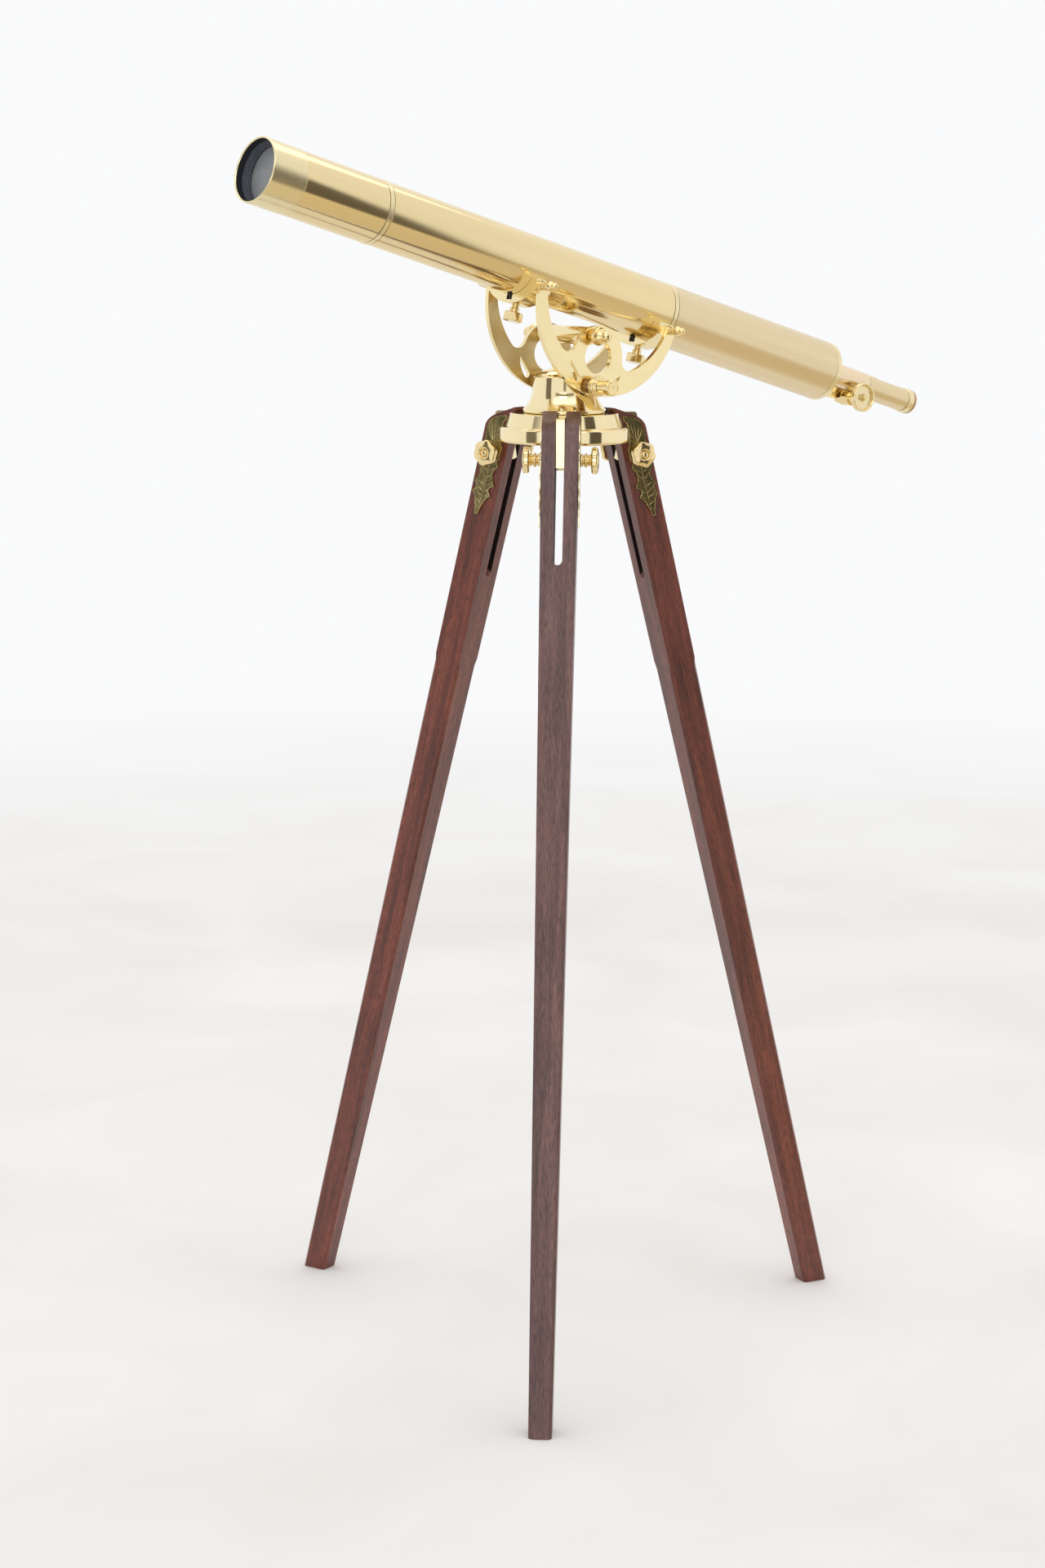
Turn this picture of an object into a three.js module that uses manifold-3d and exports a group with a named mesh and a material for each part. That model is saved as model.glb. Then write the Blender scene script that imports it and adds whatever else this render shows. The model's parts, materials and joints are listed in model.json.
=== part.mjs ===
// Brass refracting telescope on a crescent cradle and a three-legged wooden stand.
// Units are millimetres, +Z is up, the objective points towards -X and the stand's feet touch Z = 0.
import * as THREE from 'three';
import { mergeVertices } from 'three/addons/utils/BufferGeometryUtils.js';
import Module from 'manifold-3d';

const wasm = await Module();
wasm.setup();

// ---------------------------------------------------------------- driving dimensions

const GAP = 0.3; // clearance between pieces that touch

// Stand: hub, legs and their hand knobs.
const LEG_AZIMUTHS = [228.3, 348.3, 108.3]; // degrees about +Z
const LEG_NAMES = ['front', 'right', 'back'];
const LEG_PIVOT_Z = 1219;
const LEG_PIVOT_R = 97;
const LEG_LEAN = 14.66; // degrees from vertical
const LEG_TOP_WIDTH = 50;
const LEG_FOOT_WIDTH = 30;
const LEG_INNER_X = -19.5;
const LEG_OUTER_X = 23.5;
const LEG_FOOT_NARROWING = 3.4;
const LEG_TOP_Z = 74;
const LEG_SHOULDER_Z = -298;
const LEG_SHOULDER_CHAMFER = 3.6;
const LEG_EDGE_CHAMFER = 0.7;
const SLOT_WIDTH = 11.9;
const SLOT_OUTER_END = -140;
const SLOT_INNER_END = -173;
const LUG_THICKNESS = 11.2;
const KNOB_STEM_RADIUS = 4;

const HUB_BOTTOM_Z = 1236;
const FLANGE_RADIUS = 87;
const FLANGE_HEIGHT = 21;
const TIER_BASE_RADIUS = 79;
const TIER_TOP_RADIUS = 73;
const HUB_HEIGHT = 39;
const HUB_BORE = 8.5;
const RECESS_RADIUS = 51;
const RECESS_HEIGHT = 26;
const NOTCH_FLOOR_R = 60.4;
const NOTCH_CLEARANCE = 1.2;

// Turret and altitude axle.
const BELL_BOTTOM_Z = HUB_BOTTOM_Z + HUB_HEIGHT + GAP;
const ALTITUDE_Z = 1313;
const AXLE_RADIUS = 6;
const BOSS_RADIUS = 11;
const BOSS_END_Y = 44.5;
const WASHER_END_Y = 46.6;
const REST_ALTITUDE = 15.93; // degrees, objective end up

// Cradle: two crescent plates, seen along the altitude axle.
const PLATE_INNER_Y = 50.4;
const PLATE_THICKNESS = 6.6;
const PLATE_OUTER_Y = PLATE_INNER_Y + PLATE_THICKNESS;
const CRESCENT_OUTER = { z: 110, radius: 121 };
const CRESCENT_INNER = { z: 126.6, radius: 110 };
const HORN = { x: 114.3, z: 105, radius: 6.7 };
const RING = { z: 39.5, hole: 22.5, radius: 41.3 };
const VALLEY_RADIUS = 14;
const TIE = { x: -15, z: 63.8 };
const SADDLE_X = 110;
const SADDLE_LENGTH = 26;
const PAD_HALF = 11.5;
const PAD_BOTTOM = 84.6;
const HORN_SCREW_HOLE = 2.9;
const TIE_ROD_RADIUS = 3;
const CLAMP_STACK = 8.2;

// Optical tube: stations along its axis from the foot of the perpendicular on the altitude axle.
const TUBE_RISE = 132.1;
const TUBE_RADIUS = 42;
const TUBE_WALL = 1.6;
const RING_RADIUS = TUBE_RADIUS + 0.3;
const OBJECTIVE_FRONT = -550.7;
const OBJECTIVE_BACK = -498.7;
const FRONT_RING_START = -369.2;
const FRONT_RING_END = -361.7;
const MIDDLE_RING_START = 125;
const MIDDLE_RING_END = 132.5;
const END_CAP_START = 443.5;
const END_CAP_END = 452.2;
const COLLAR_RADIUS = 18.4;
const COLLAR_END = 537;
const GLAND_END = 556;
const DRAWTUBE_RADIUS = 16.5;
const DRAWTUBE_START = 395;
const DRAWTUBE_END = 620;
const EYEPIECE_END = 636.7;

// Rack and pinion.
const PINION_X = 515;
const PINION_TEETH = 12;
const TOOTH_MODULE = 1;
const PINION_PITCH_RADIUS = (PINION_TEETH * TOOTH_MODULE) / 2;
const TOOTH_PITCH = Math.PI * TOOTH_MODULE;
const PINION_Z = -21.3;
const PINION_ADDENDUM = 0.6;
const PINION_DEDENDUM = 1.15;
const RACK_ROOT_Z = -14.4;
const RACK_TIP_Z = -16.2;
const RACK_TEETH_INWARD = 14;
const RACK_TEETH_OUTWARD = 8;
const SHAFT_RADIUS = 2.5;
const WHEEL_RADIUS = 20.5;

// ---------------------------------------------------------------- materials

function metal(color, roughness) {
  return new THREE.MeshStandardMaterial({ color, roughness, metalness: 1 });
}

const polishedBrass = () => metal(0xd8b56a, 0.18);
const satinBrass = () => metal(0xe0c485, 0.35);
const goldBrass = () => metal(0xd9a845, 0.2);
const roseBrass = () => metal(0xd9b08a, 0.3);
const antiqueBrass = () => metal(0x8a7a45, 0.45);
const blackMetal = () => new THREE.MeshStandardMaterial({ color: 0x15151a, roughness: 0.6, metalness: 0.2 });
const mahogany = () => new THREE.MeshStandardMaterial({ color: 0x5a2c22, roughness: 0.45, metalness: 0 });
const blackRubber = () => new THREE.MeshStandardMaterial({ color: 0x1b1714, roughness: 0.9, metalness: 0 });

function glass() {
  return new THREE.MeshStandardMaterial({
    color: 0x9fa3a6, roughness: 0.05, metalness: 0, transparent: true, opacity: 0.45,
  });
}

// ---------------------------------------------------------------- solids

const radians = THREE.MathUtils.degToRad;

function signedVolume(positions, triangles) {
  const a = new THREE.Vector3();
  const b = new THREE.Vector3();
  const c = new THREE.Vector3();
  let volume = 0;
  for (let i = 0; i < triangles.length; i += 3) {
    a.fromArray(positions, triangles[i] * 3);
    b.fromArray(positions, triangles[i + 1] * 3);
    c.fromArray(positions, triangles[i + 2] * 3);
    volume += a.dot(b.cross(c));
  }
  return volume;
}

// Turns a closed three.js geometry into a solid: shared vertices, no slivers, faces outward.
function solid(geometry) {
  const bare = geometry.clone();
  bare.deleteAttribute('normal');
  bare.deleteAttribute('uv');
  const merged = mergeVertices(bare, 1e-4);
  const positions = merged.attributes.position.array;
  const kept = [];
  const index = merged.index.array;
  for (let i = 0; i < index.length; i += 3) {
    const [a, b, c] = [index[i], index[i + 1], index[i + 2]];
    if (a !== b && b !== c && c !== a) kept.push(a, b, c);
  }
  if (signedVolume(positions, kept) < 0) kept.reverse();
  const vertProperties = new Float32Array(positions);
  const triVerts = new Uint32Array(kept);
  return new wasm.Manifold(new wasm.Mesh({ numProp: 3, vertProperties, triVerts }));
}

function toGeometry(body) {
  const data = body.getMesh();
  const geometry = new THREE.BufferGeometry();
  geometry.setAttribute('position', new THREE.BufferAttribute(new Float32Array(data.vertProperties), 3));
  geometry.setIndex(new THREE.BufferAttribute(new Uint32Array(data.triVerts), 1));
  return geometry;
}

function addMesh(parent, name, body, material) {
  const mesh = new THREE.Mesh(toGeometry(body), material);
  mesh.name = name;
  parent.add(mesh);
  return mesh;
}

// A profile of [along, radius] points revolved about the X, Y or Z axis.
function turned(axis, profile, segments = 24) {
  const points = profile.map(([along, radius]) => new THREE.Vector2(radius, along));
  const geometry = new THREE.LatheGeometry(points, segments);
  if (axis === 'x') geometry.rotateZ(-Math.PI / 2);
  if (axis === 'z') geometry.rotateX(Math.PI / 2);
  return geometry;
}

// The same for a hollow piece, whose profile closes on itself.
function turnedRing(axis, profile, segments) {
  return turned(axis, [...profile, profile[0]], segments);
}

function rod(axis, radius, from, to, segments = 16) {
  return turned(axis, [[from, 0], [from, radius], [to, radius], [to, 0]], segments);
}

function tube(axis, inner, outer, from, to, segments = 24) {
  return turnedRing(axis, [[from, inner], [from, outer], [to, outer], [to, inner]], segments);
}

function box(x0, x1, y0, y1, z0, z1) {
  const geometry = new THREE.BoxGeometry(x1 - x0, y1 - y0, z1 - z0);
  return geometry.translate((x0 + x1) / 2, (y0 + y1) / 2, (z0 + z1) / 2);
}

// A shape drawn in X and Z, extruded along Y from y0 to y1.
function slab(shape, y0, y1, curveSegments = 12) {
  const options = { depth: y1 - y0, bevelEnabled: false, curveSegments };
  const geometry = new THREE.ExtrudeGeometry(shape, options);
  return geometry.rotateX(Math.PI / 2).translate(0, y1, 0);
}

function polygon(points) {
  return new THREE.Shape(points.map(([x, y]) => new THREE.Vector2(x, y)));
}

function circlePath(x, y, radius) {
  const path = new THREE.Path();
  path.absarc(x, y, radius, 0, Math.PI * 2, true);
  return path;
}

// ---------------------------------------------------------------- stand

const LEAN = radians(LEG_LEAN);

function hubBody() {
  const profile = [
    [HUB_HEIGHT, HUB_BORE], [HUB_HEIGHT, TIER_TOP_RADIUS], [FLANGE_HEIGHT, TIER_BASE_RADIUS],
    [FLANGE_HEIGHT, FLANGE_RADIUS - 3], [FLANGE_HEIGHT - 3.5, FLANGE_RADIUS], [3, FLANGE_RADIUS],
    [0, FLANGE_RADIUS - 3], [0, RECESS_RADIUS], [RECESS_HEIGHT, RECESS_RADIUS], [RECESS_HEIGHT, HUB_BORE],
  ];
  let body = solid(turnedRing('z', profile, 30));
  const notchHalf = LEG_TOP_WIDTH / 2 + NOTCH_CLEARANCE;
  const lugShape = polygon([
    [49, 20], [49, 0], [60, -14], [78, -30], [104, -30], [108, -26], [108, 36], [106, 38], [49, 38],
  ]);
  const holeZ = LEG_PIVOT_Z - HUB_BOTTOM_Z;
  for (const azimuth of LEG_AZIMUTHS) {
    const turn = radians(azimuth);
    const notch = box(NOTCH_FLOOR_R, 110, -notchHalf, notchHalf, -5, HUB_HEIGHT + 5).rotateZ(turn);
    const lug = slab(lugShape, -LUG_THICKNESS / 2, LUG_THICKNESS / 2).rotateZ(turn);
    const hole = rod('y', KNOB_STEM_RADIUS + GAP, -20, 20, 10).translate(LEG_PIVOT_R, 0, holeZ).rotateZ(turn);
    body = body.subtract(solid(notch)).add(solid(lug)).subtract(solid(hole));
  }
  return body;
}

function halfWidthAt(z) {
  const footZ = -LEG_PIVOT_Z / Math.cos(LEAN);
  const share = (LEG_TOP_Z - z) / (LEG_TOP_Z - footZ);
  return THREE.MathUtils.lerp(LEG_TOP_WIDTH, LEG_FOOT_WIDTH, share) / 2;
}

// A bar of eight-sided section whose width, depth and corner chamfers change along its length.
function legBar() {
  const footZ = -LEG_PIVOT_Z / Math.cos(LEAN) - 20;
  const stations = [
    [LEG_TOP_Z, LEG_EDGE_CHAMFER], [LEG_SHOULDER_Z, LEG_EDGE_CHAMFER],
    [LEG_SHOULDER_Z - 14, LEG_SHOULDER_CHAMFER], [footZ, LEG_SHOULDER_CHAMFER],
  ];
  const unit = polygon([
    [2, 1], [1, 2], [-1, 2], [-2, 1], [-2, -1], [-1, -2], [1, -2], [2, -1],
  ]);
  const steps = stations.length - 1;
  const geometry = new THREE.ExtrudeGeometry(unit, { steps, depth: steps, bevelEnabled: false });
  const position = geometry.attributes.position;
  for (let i = 0; i < position.count; i += 1) {
    const [z, chamfer] = stations[Math.round(position.getZ(i))];
    const narrowing = LEG_FOOT_NARROWING * ((LEG_TOP_Z - z) / (LEG_TOP_Z - footZ));
    const halfX = (LEG_OUTER_X - LEG_INNER_X) / 2 - narrowing;
    const halfY = halfWidthAt(z);
    const cornerX = Math.abs(position.getX(i)) > 1.5 ? halfX : halfX - chamfer;
    const cornerY = Math.abs(position.getY(i)) > 1.5 ? halfY : halfY - chamfer;
    const x = Math.sign(position.getX(i)) * cornerX + (LEG_OUTER_X + LEG_INNER_X) / 2;
    position.setXYZ(i, x, Math.sign(position.getY(i)) * cornerY, z);
  }
  return solid(geometry);
}

// Local axes of a leg: origin on its pivot bolt, +X outward, +Z up along the wood.
function legBody() {
  const footAt = (x) => -(LEG_PIVOT_Z + x * Math.sin(LEAN)) / Math.cos(LEAN);
  const outline = new THREE.Shape();
  outline.moveTo(-40, footAt(-40));
  outline.lineTo(50, footAt(50));
  outline.lineTo(50, 28);
  outline.lineTo(LEG_OUTER_X, 28);
  outline.quadraticCurveTo(LEG_OUTER_X - 0.5, 42, 8, 52);
  outline.lineTo(LEG_INNER_X + 2, 68.5);
  outline.lineTo(-40, 68.5);
  const endRod = rod('x', SLOT_WIDTH / 2, -40, 40, 12);
  const slope = Math.atan2(SLOT_OUTER_END - SLOT_INNER_END, LEG_OUTER_X - LEG_INNER_X);
  const endZ = (SLOT_OUTER_END + SLOT_INNER_END) / 2 + SLOT_WIDTH / 2;
  endRod.rotateY(-slope).translate((LEG_OUTER_X + LEG_INNER_X) / 2, 0, endZ);
  const reach = 40 * Math.tan(slope);
  const slotShape = polygon([[-40, 100], [-40, endZ - reach - 1], [40, endZ + reach - 1], [40, 100]]);
  const slot = slab(slotShape, -SLOT_WIDTH / 2, SLOT_WIDTH / 2);
  const boltHole = rod('y', KNOB_STEM_RADIUS + GAP, -40, 40, 10);
  return legBar()
    .intersect(solid(slab(outline, -60, 60)))
    .subtract(solid(slot))
    .subtract(solid(endRod))
    .subtract(solid(boltHole));
}

// Escutcheon cut like a leaf: a flag above the pivot, lobes below it and a pointed tip.
function leafBody(side) {
  const shape = polygon([
    [19.5, 41], [13, 47.5], [-9, 57.5], [-10, 48], [-5, 39], [-6.5, 23], [-13, 9], [-12.5, -7], [-8.5, -11],
    [-13, -17], [-10, -24], [-6.5, -28], [-7, -36], [-12.5, -45], [-6.5, -53], [-10.5, -59], [-3, -70],
    [2.5, -80], [3.6, -89], [5.5, -91], [8, -89], [13, -72], [20.5, -60], [15.5, -53], [21.5, -46],
    [15.5, -37], [14.5, -30], [20, -22], [18.5, -10], [20.3, 5], [20.3, 28],
  ]);
  shape.holes.push(circlePath(0, 0, KNOB_STEM_RADIUS + GAP));
  const face = halfWidthAt(0) + GAP;
  const drop = 100;
  const taper = Math.atan((halfWidthAt(0) - halfWidthAt(-drop)) / drop);
  const geometry = slab(shape, face, face + 1.2);
  geometry.rotateX(-taper);
  if (side < 0) geometry.rotateZ(Math.PI).scale(-1, 1, 1);
  return solid(geometry);
}

function lobedOutline(radius, depth, lobes) {
  const shape = new THREE.Shape();
  const steps = lobes * 3;
  for (let i = 0; i < steps; i += 1) {
    const angle = (i / steps) * Math.PI * 2;
    const r = radius + depth * Math.cos(lobes * angle);
    if (i === 0) shape.moveTo(r * Math.cos(angle), r * Math.sin(angle));
    else shape.lineTo(r * Math.cos(angle), r * Math.sin(angle));
  }
  return shape;
}

// Hand knob on the leg's +Y or -Y face; the threaded one carries the pivot bolt.
function handKnobBody(side, carriesBolt) {
  const base = halfWidthAt(0) + 2 * GAP + 1.4;
  const neck = [
    [base, 0], [base, 8.6], [base + 2.6, 8.6], [base + 4, 6.5], [base + 5.6, 9.7], [base + 8.6, 9.7],
    [base + 9.4, 7], [base + 15, 11], [base + 15, 0],
  ];
  const head = slab(lobedOutline(16.8, 1.1, 6), base + 14, base + 22.5);
  const dimple = turned('y', [[base + 19.5, 0], [base + 19.5, 6.4], [base + 30, 8.5], [base + 30, 0]], 10);
  const button = turned('y', [[base + 16, 0], [base + 16, 3.9], [base + 22, 3.6], [base + 24.2, 0]], 8);
  let body = solid(turned('y', neck, 10)).add(solid(head)).subtract(solid(dimple)).add(solid(button));
  if (carriesBolt) {
    body = body.add(solid(rod('y', KNOB_STEM_RADIUS, -base - 10, base + 2, 10)));
  } else {
    body = body.subtract(solid(rod('y', KNOB_STEM_RADIUS + GAP, 0, base + 11, 10)));
  }
  return side > 0 ? body : body.rotate([0, 0, 180]);
}

// ---------------------------------------------------------------- turret

function bellBody() {
  const profile = [
    [61.5, 0], [60, 14], [55.2, 33], [48.5, 41.4], [46, 42], [28, 43.4], [15, 47.5], [5, 54.6], [3, 56.3],
    [0, 55.6], [0, 36], [20, 31], [20, 7.3], [26.5, 7.3], [26.5, 0],
  ];
  const axleZ = ALTITUDE_Z - BELL_BOTTOM_Z;
  const bosses = rod('y', BOSS_RADIUS, -BOSS_END_Y, BOSS_END_Y, 16).translate(0, 0, axleZ);
  const bore = rod('y', AXLE_RADIUS + GAP, -60, 60, 12).translate(0, 0, axleZ);
  return solid(turned('z', profile, 28)).add(solid(bosses)).subtract(solid(bore));
}

// Shoulder bolt that screws up into the bell and lets it turn on the hub.
function azimuthBoltBody() {
  const top = BELL_BOTTOM_Z - HUB_BOTTOM_Z + RECESS_HEIGHT;
  const washerTop = RECESS_HEIGHT - GAP;
  const head = [
    [10, 0], [10, 10], [12, 15], [22, 15], [24, 13], [24, 19], [washerTop, 19], [washerTop, 8.2],
    [HUB_HEIGHT, 8.2], [HUB_HEIGHT, 7], [top, 7], [top, 0],
  ];
  return solid(turned('z', head, 14));
}

// ---------------------------------------------------------------- cradle

// Points along an arc drawn in X and Z, ends included.
function arc(x, z, radius, from, to, steps) {
  return Array.from({ length: steps + 1 }, (_, i) => {
    const angle = THREE.MathUtils.lerp(from, to, i / steps);
    return [x + radius * Math.cos(angle), z + radius * Math.sin(angle)];
  });
}

// Teardrop window beside the ring: pointed above, round below; mirror is 1 or -1.
function teardrop(mirror) {
  const polar = (radius, degrees) => [
    mirror * radius * Math.cos(radians(degrees)),
    RING.z + radius * Math.sin(radians(degrees)),
  ];
  const [x, z] = polar(44.3, 233);
  const turn = radians(233);
  const points = [
    polar(46.5, 199), polar(49, 214), ...arc(mirror * x, z, 4.6, turn, turn + Math.PI, 5)
      .map(([px, pz]) => [mirror * px, pz]), polar(41.9, 214),
  ];
  return polygon(points);
}

function crescentShape() {
  const ringReach = RING.radius + VALLEY_RADIUS;
  const innerReach = CRESCENT_INNER.radius - VALLEY_RADIUS;
  const span = CRESCENT_INNER.z - RING.z;
  const valleyZ = (ringReach ** 2 - innerReach ** 2 + CRESCENT_INNER.z ** 2 - RING.z ** 2) / (2 * span);
  const valleyX = Math.sqrt(ringReach ** 2 - (valleyZ - RING.z) ** 2);
  const toInner = Math.atan2(valleyZ - CRESCENT_INNER.z, valleyX);
  const toRing = Math.atan2(valleyZ - RING.z, valleyX);
  const hornInner = Math.atan2(HORN.z - 1 - CRESCENT_INNER.z, HORN.x - HORN.radius);
  const hornOuter = Math.atan2(HORN.z - CRESCENT_OUTER.z, HORN.x + HORN.radius);
  const { PI } = Math;
  const { z: innerZ, radius: innerR } = CRESCENT_INNER;
  const shape = polygon([
    ...arc(0, innerZ, innerR, hornInner, toInner, 4),
    ...arc(valleyX, valleyZ, VALLEY_RADIUS, toInner + PI, toRing + PI, 3).slice(1),
    ...arc(0, RING.z, RING.radius, toRing, PI - toRing, 9).slice(1),
    ...arc(-valleyX, valleyZ, VALLEY_RADIUS, -toRing, -toInner, 3).slice(1),
    ...arc(0, innerZ, innerR, PI - toInner, PI - hornInner, 4).slice(1),
    ...arc(-HORN.x, HORN.z, HORN.radius, 0, PI, 4).slice(1),
    ...arc(0, CRESCENT_OUTER.z, CRESCENT_OUTER.radius, PI - hornOuter, 2 * PI + hornOuter, 18).slice(1),
    ...arc(HORN.x, HORN.z, HORN.radius, 0, PI, 4).slice(1),
  ]);
  shape.holes.push(polygon(arc(0, RING.z, RING.hole, 0, 2 * PI, 20).slice(1)));
  shape.holes.push(teardrop(1), teardrop(-1));
  return shape;
}

function crescentBody(side) {
  const y0 = side > 0 ? PLATE_INNER_Y : -PLATE_OUTER_Y;
  let body = solid(slab(crescentShape(), y0, y0 + PLATE_THICKNESS, 14));
  const holes = [
    [0, 0, AXLE_RADIUS + GAP], [TIE.x, TIE.z, TIE_ROD_RADIUS + GAP],
    [HORN.x, HORN.z, HORN_SCREW_HOLE], [-HORN.x, HORN.z, HORN_SCREW_HOLE],
  ];
  for (const [x, z, radius] of holes) {
    body = body.subtract(solid(rod('y', radius, -90, 90, 10).translate(x, 0, z)));
  }
  return body;
}

// Turned nut with a waist and a button, standing on the outer face of a plate.
function acornProfile(reach) {
  return [
    [reach, 0], [reach, 5.2], [reach + 5, 5.2], [reach + 6, 9.6], [reach + 9, 12.2], [reach + 13, 12.2],
    [reach + 17, 10.4], [reach + 20.6, 6.6], [reach + 22, 6.2], [reach + 23, 7.4], [reach + 26, 7.4],
    [reach + 30, 5], [reach + 32.4, 0],
  ];
}

function acornKnobBody(side, carriesRod) {
  const reach = PLATE_OUTER_Y + GAP;
  let body = solid(turned('y', acornProfile(reach), 12));
  if (carriesRod) {
    body = body.add(solid(rod('y', TIE_ROD_RADIUS, -reach - 9, reach + 2, 8)));
  } else {
    body = body.subtract(solid(rod('y', TIE_ROD_RADIUS + GAP, 0, reach + 10, 8)));
  }
  return side > 0 ? body : body.rotate([0, 0, 180]);
}

function hornScrewBody(side) {
  const reach = PLATE_OUTER_Y + GAP;
  const profile = [
    [PLATE_INNER_Y - 6, 0], [PLATE_INNER_Y - 6, 2.6], [reach, 2.6], [reach, 6], [reach + 2.4, 6],
    [reach + 5, 3.8], [reach + 9, 6.2], [reach + 14, 5.8], [reach + 17.5, 3.5], [reach + 20.5, 4.4],
    [reach + 23.5, 3.4], [reach + 25.2, 0],
  ];
  const body = solid(turned('y', profile, 8));
  return side > 0 ? body : body.rotate([0, 0, 180]);
}

// Turned altitude axle: a round head outside the far plate, a plain shaft and a threaded end.
function axleBody() {
  const head = PLATE_OUTER_Y + GAP;
  const profile = [
    [-93, 0], [-93, AXLE_RADIUS], [head, AXLE_RADIUS], [head, 12], [head + 3, 12.4], [head + 6, 10],
    [head + 7.6, 0],
  ];
  return solid(turned('y', profile, 16));
}

function clampKnobBody() {
  const base = -(PLATE_OUTER_Y + CLAMP_STACK + GAP);
  const profile = [
    [base, AXLE_RADIUS + GAP], [base, 13.2], [base - 5, 13.2], [base - 6, 11.4], [base - 7.6, 12.6],
    [base - 10, 12.4], [base - 11, 9.6], [base - 25, 9.6], [base - 25.8, 10.8], [base - 34.6, 10.8],
    [base - 36, 9.8], [base - 36, 0], [base - 30, 0],
    [base - 30, AXLE_RADIUS + GAP],
  ];
  return solid(turnedRing('y', profile, 16));
}

function saddleBody() {
  const bottom = 78.5;
  const earZ = 113;
  const end = PLATE_INNER_Y - GAP;
  const bore = TUBE_RADIUS + 0.35;
  const pocket = 5.6;
  const sag = 18.5;
  const arcRadius = (end ** 2 + sag ** 2) / (2 * sag);
  const arcHalf = Math.asin(end / arcRadius);
  const earAngle = Math.asin((TUBE_RISE - earZ) / bore);
  const pocketAngle = Math.acos(pocket / bore);
  const shape = new THREE.Shape();
  shape.absarc(0, bottom + arcRadius, arcRadius, -Math.PI / 2 - arcHalf, -Math.PI / 2 + arcHalf, false);
  shape.lineTo(end, earZ);
  shape.absarc(0, TUBE_RISE, bore, -earAngle, -pocketAngle, true);
  shape.lineTo(pocket, bottom + 4.7);
  shape.lineTo(-pocket, bottom + 4.7);
  shape.absarc(0, TUBE_RISE, bore, -Math.PI + pocketAngle, -Math.PI + earAngle, true);
  shape.lineTo(-end, earZ);
  const half = SADDLE_LENGTH / 2;
  const block = slab(shape, -half, half, 4).rotateZ(Math.PI / 2);
  const thumbscrewHole = rod('z', 4.8, 60, 100, 12);
  let body = solid(block).subtract(solid(thumbscrewHole));
  for (const [from, to] of [[end - 6.6, end + 5], [-end - 5, -end + 6.6]]) {
    const screwHole = rod('y', HORN_SCREW_HOLE, from, to, 8).translate(HORN.x - SADDLE_X, 0, HORN.z);
    body = body.subtract(solid(screwHole));
  }
  return body;
}

function thumbscrewBody() {
  const profile = [
    [57, 0], [57, 11.6], [58, 12.5], [71.4, 12.5], [72.4, 11.6], [72.4, 6], [73.4, 4.6], [84.2, 4.5],
    [84.2, 0],
  ];
  return solid(turned('z', profile, 12));
}

// ---------------------------------------------------------------- optical tube

const TUBE_BORE = TUBE_RADIUS - TUBE_WALL;
const SLEEVE_RADIUS = TUBE_BORE - GAP;
const SLEEVE_WALL = 2;
const SLEEVE_REACH = 12;

// Coupling ring: a narrow band outside and a sleeve that reaches into both tubes.
function jointRing(start, end) {
  const first = start - SLEEVE_REACH;
  const last = end + SLEEVE_REACH;
  return turnedRing('x', [
    [first, SLEEVE_RADIUS - SLEEVE_WALL], [first, SLEEVE_RADIUS], [start, SLEEVE_RADIUS],
    [start, RING_RADIUS], [end, RING_RADIUS], [end, SLEEVE_RADIUS], [last, SLEEVE_RADIUS],
    [last, SLEEVE_RADIUS - SLEEVE_WALL],
  ], 28);
}

function arcPoints(vertex, rimX, rimRadius, count) {
  const points = [];
  for (let i = 0; i <= count; i += 1) {
    const radius = (rimRadius * i) / count;
    points.push([THREE.MathUtils.lerp(vertex, rimX, (radius / rimRadius) ** 2), radius]);
  }
  return points;
}

// A lens between two surfaces, each given by its vertex and its rim along the axis.
function lensBody(front, back, rimRadius) {
  const profile = [
    ...arcPoints(front.vertex, front.rim, rimRadius, 2),
    ...arcPoints(back.vertex, back.rim, rimRadius, 2).reverse(),
  ];
  return solid(turned('x', profile, 20));
}

// The drawtube's wall is slotted below, and a toothed rack sits in the slot on a strip fixed inside.
function drawtubeBody() {
  const rackStart = PINION_X - (RACK_TEETH_INWARD + 0.5) * TOOTH_PITCH;
  const rackEnd = PINION_X + (RACK_TEETH_OUTWARD + 0.5) * TOOTH_PITCH;
  const outline = [[rackStart, RACK_ROOT_Z + 1]];
  for (let i = -RACK_TEETH_INWARD; i <= RACK_TEETH_OUTWARD; i += 1) {
    const middle = PINION_X + i * TOOTH_PITCH;
    outline.push([middle - 0.8, RACK_ROOT_Z], [middle - 0.35, RACK_TIP_Z]);
    outline.push([middle + 0.35, RACK_TIP_Z], [middle + 0.8, RACK_ROOT_Z]);
  }
  outline.push([rackEnd, RACK_ROOT_Z + 1]);
  const wall = tube('x', DRAWTUBE_RADIUS - 1.5, DRAWTUBE_RADIUS, DRAWTUBE_START, DRAWTUBE_END, 24);
  const slot = box(rackStart - 2, rackEnd + 2, -5, 5, -20, -10);
  const strip = box(rackStart - 4, rackEnd + 4, -6.5, 6.5, RACK_ROOT_Z, RACK_ROOT_Z + 2.2);
  return solid(wall).subtract(solid(slot)).add(solid(strip)).add(solid(slab(polygon(outline), -4.1, 4.1)));
}

function pinionShape() {
  const points = [];
  const rootRadius = PINION_PITCH_RADIUS - PINION_DEDENDUM;
  const tipRadius = PINION_PITCH_RADIUS + PINION_ADDENDUM;
  for (let i = 0; i < PINION_TEETH; i += 1) {
    const middle = Math.PI / 2 + ((i + 0.5) / PINION_TEETH) * Math.PI * 2;
    const corners = [[-0.75, rootRadius], [-0.34, tipRadius], [0.34, tipRadius], [0.75, rootRadius]];
    for (const [offset, radius] of corners) {
      const angle = middle + offset / radius;
      points.push([PINION_X + radius * Math.cos(angle), PINION_Z + radius * Math.sin(angle)]);
    }
  }
  return polygon(points);
}

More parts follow.
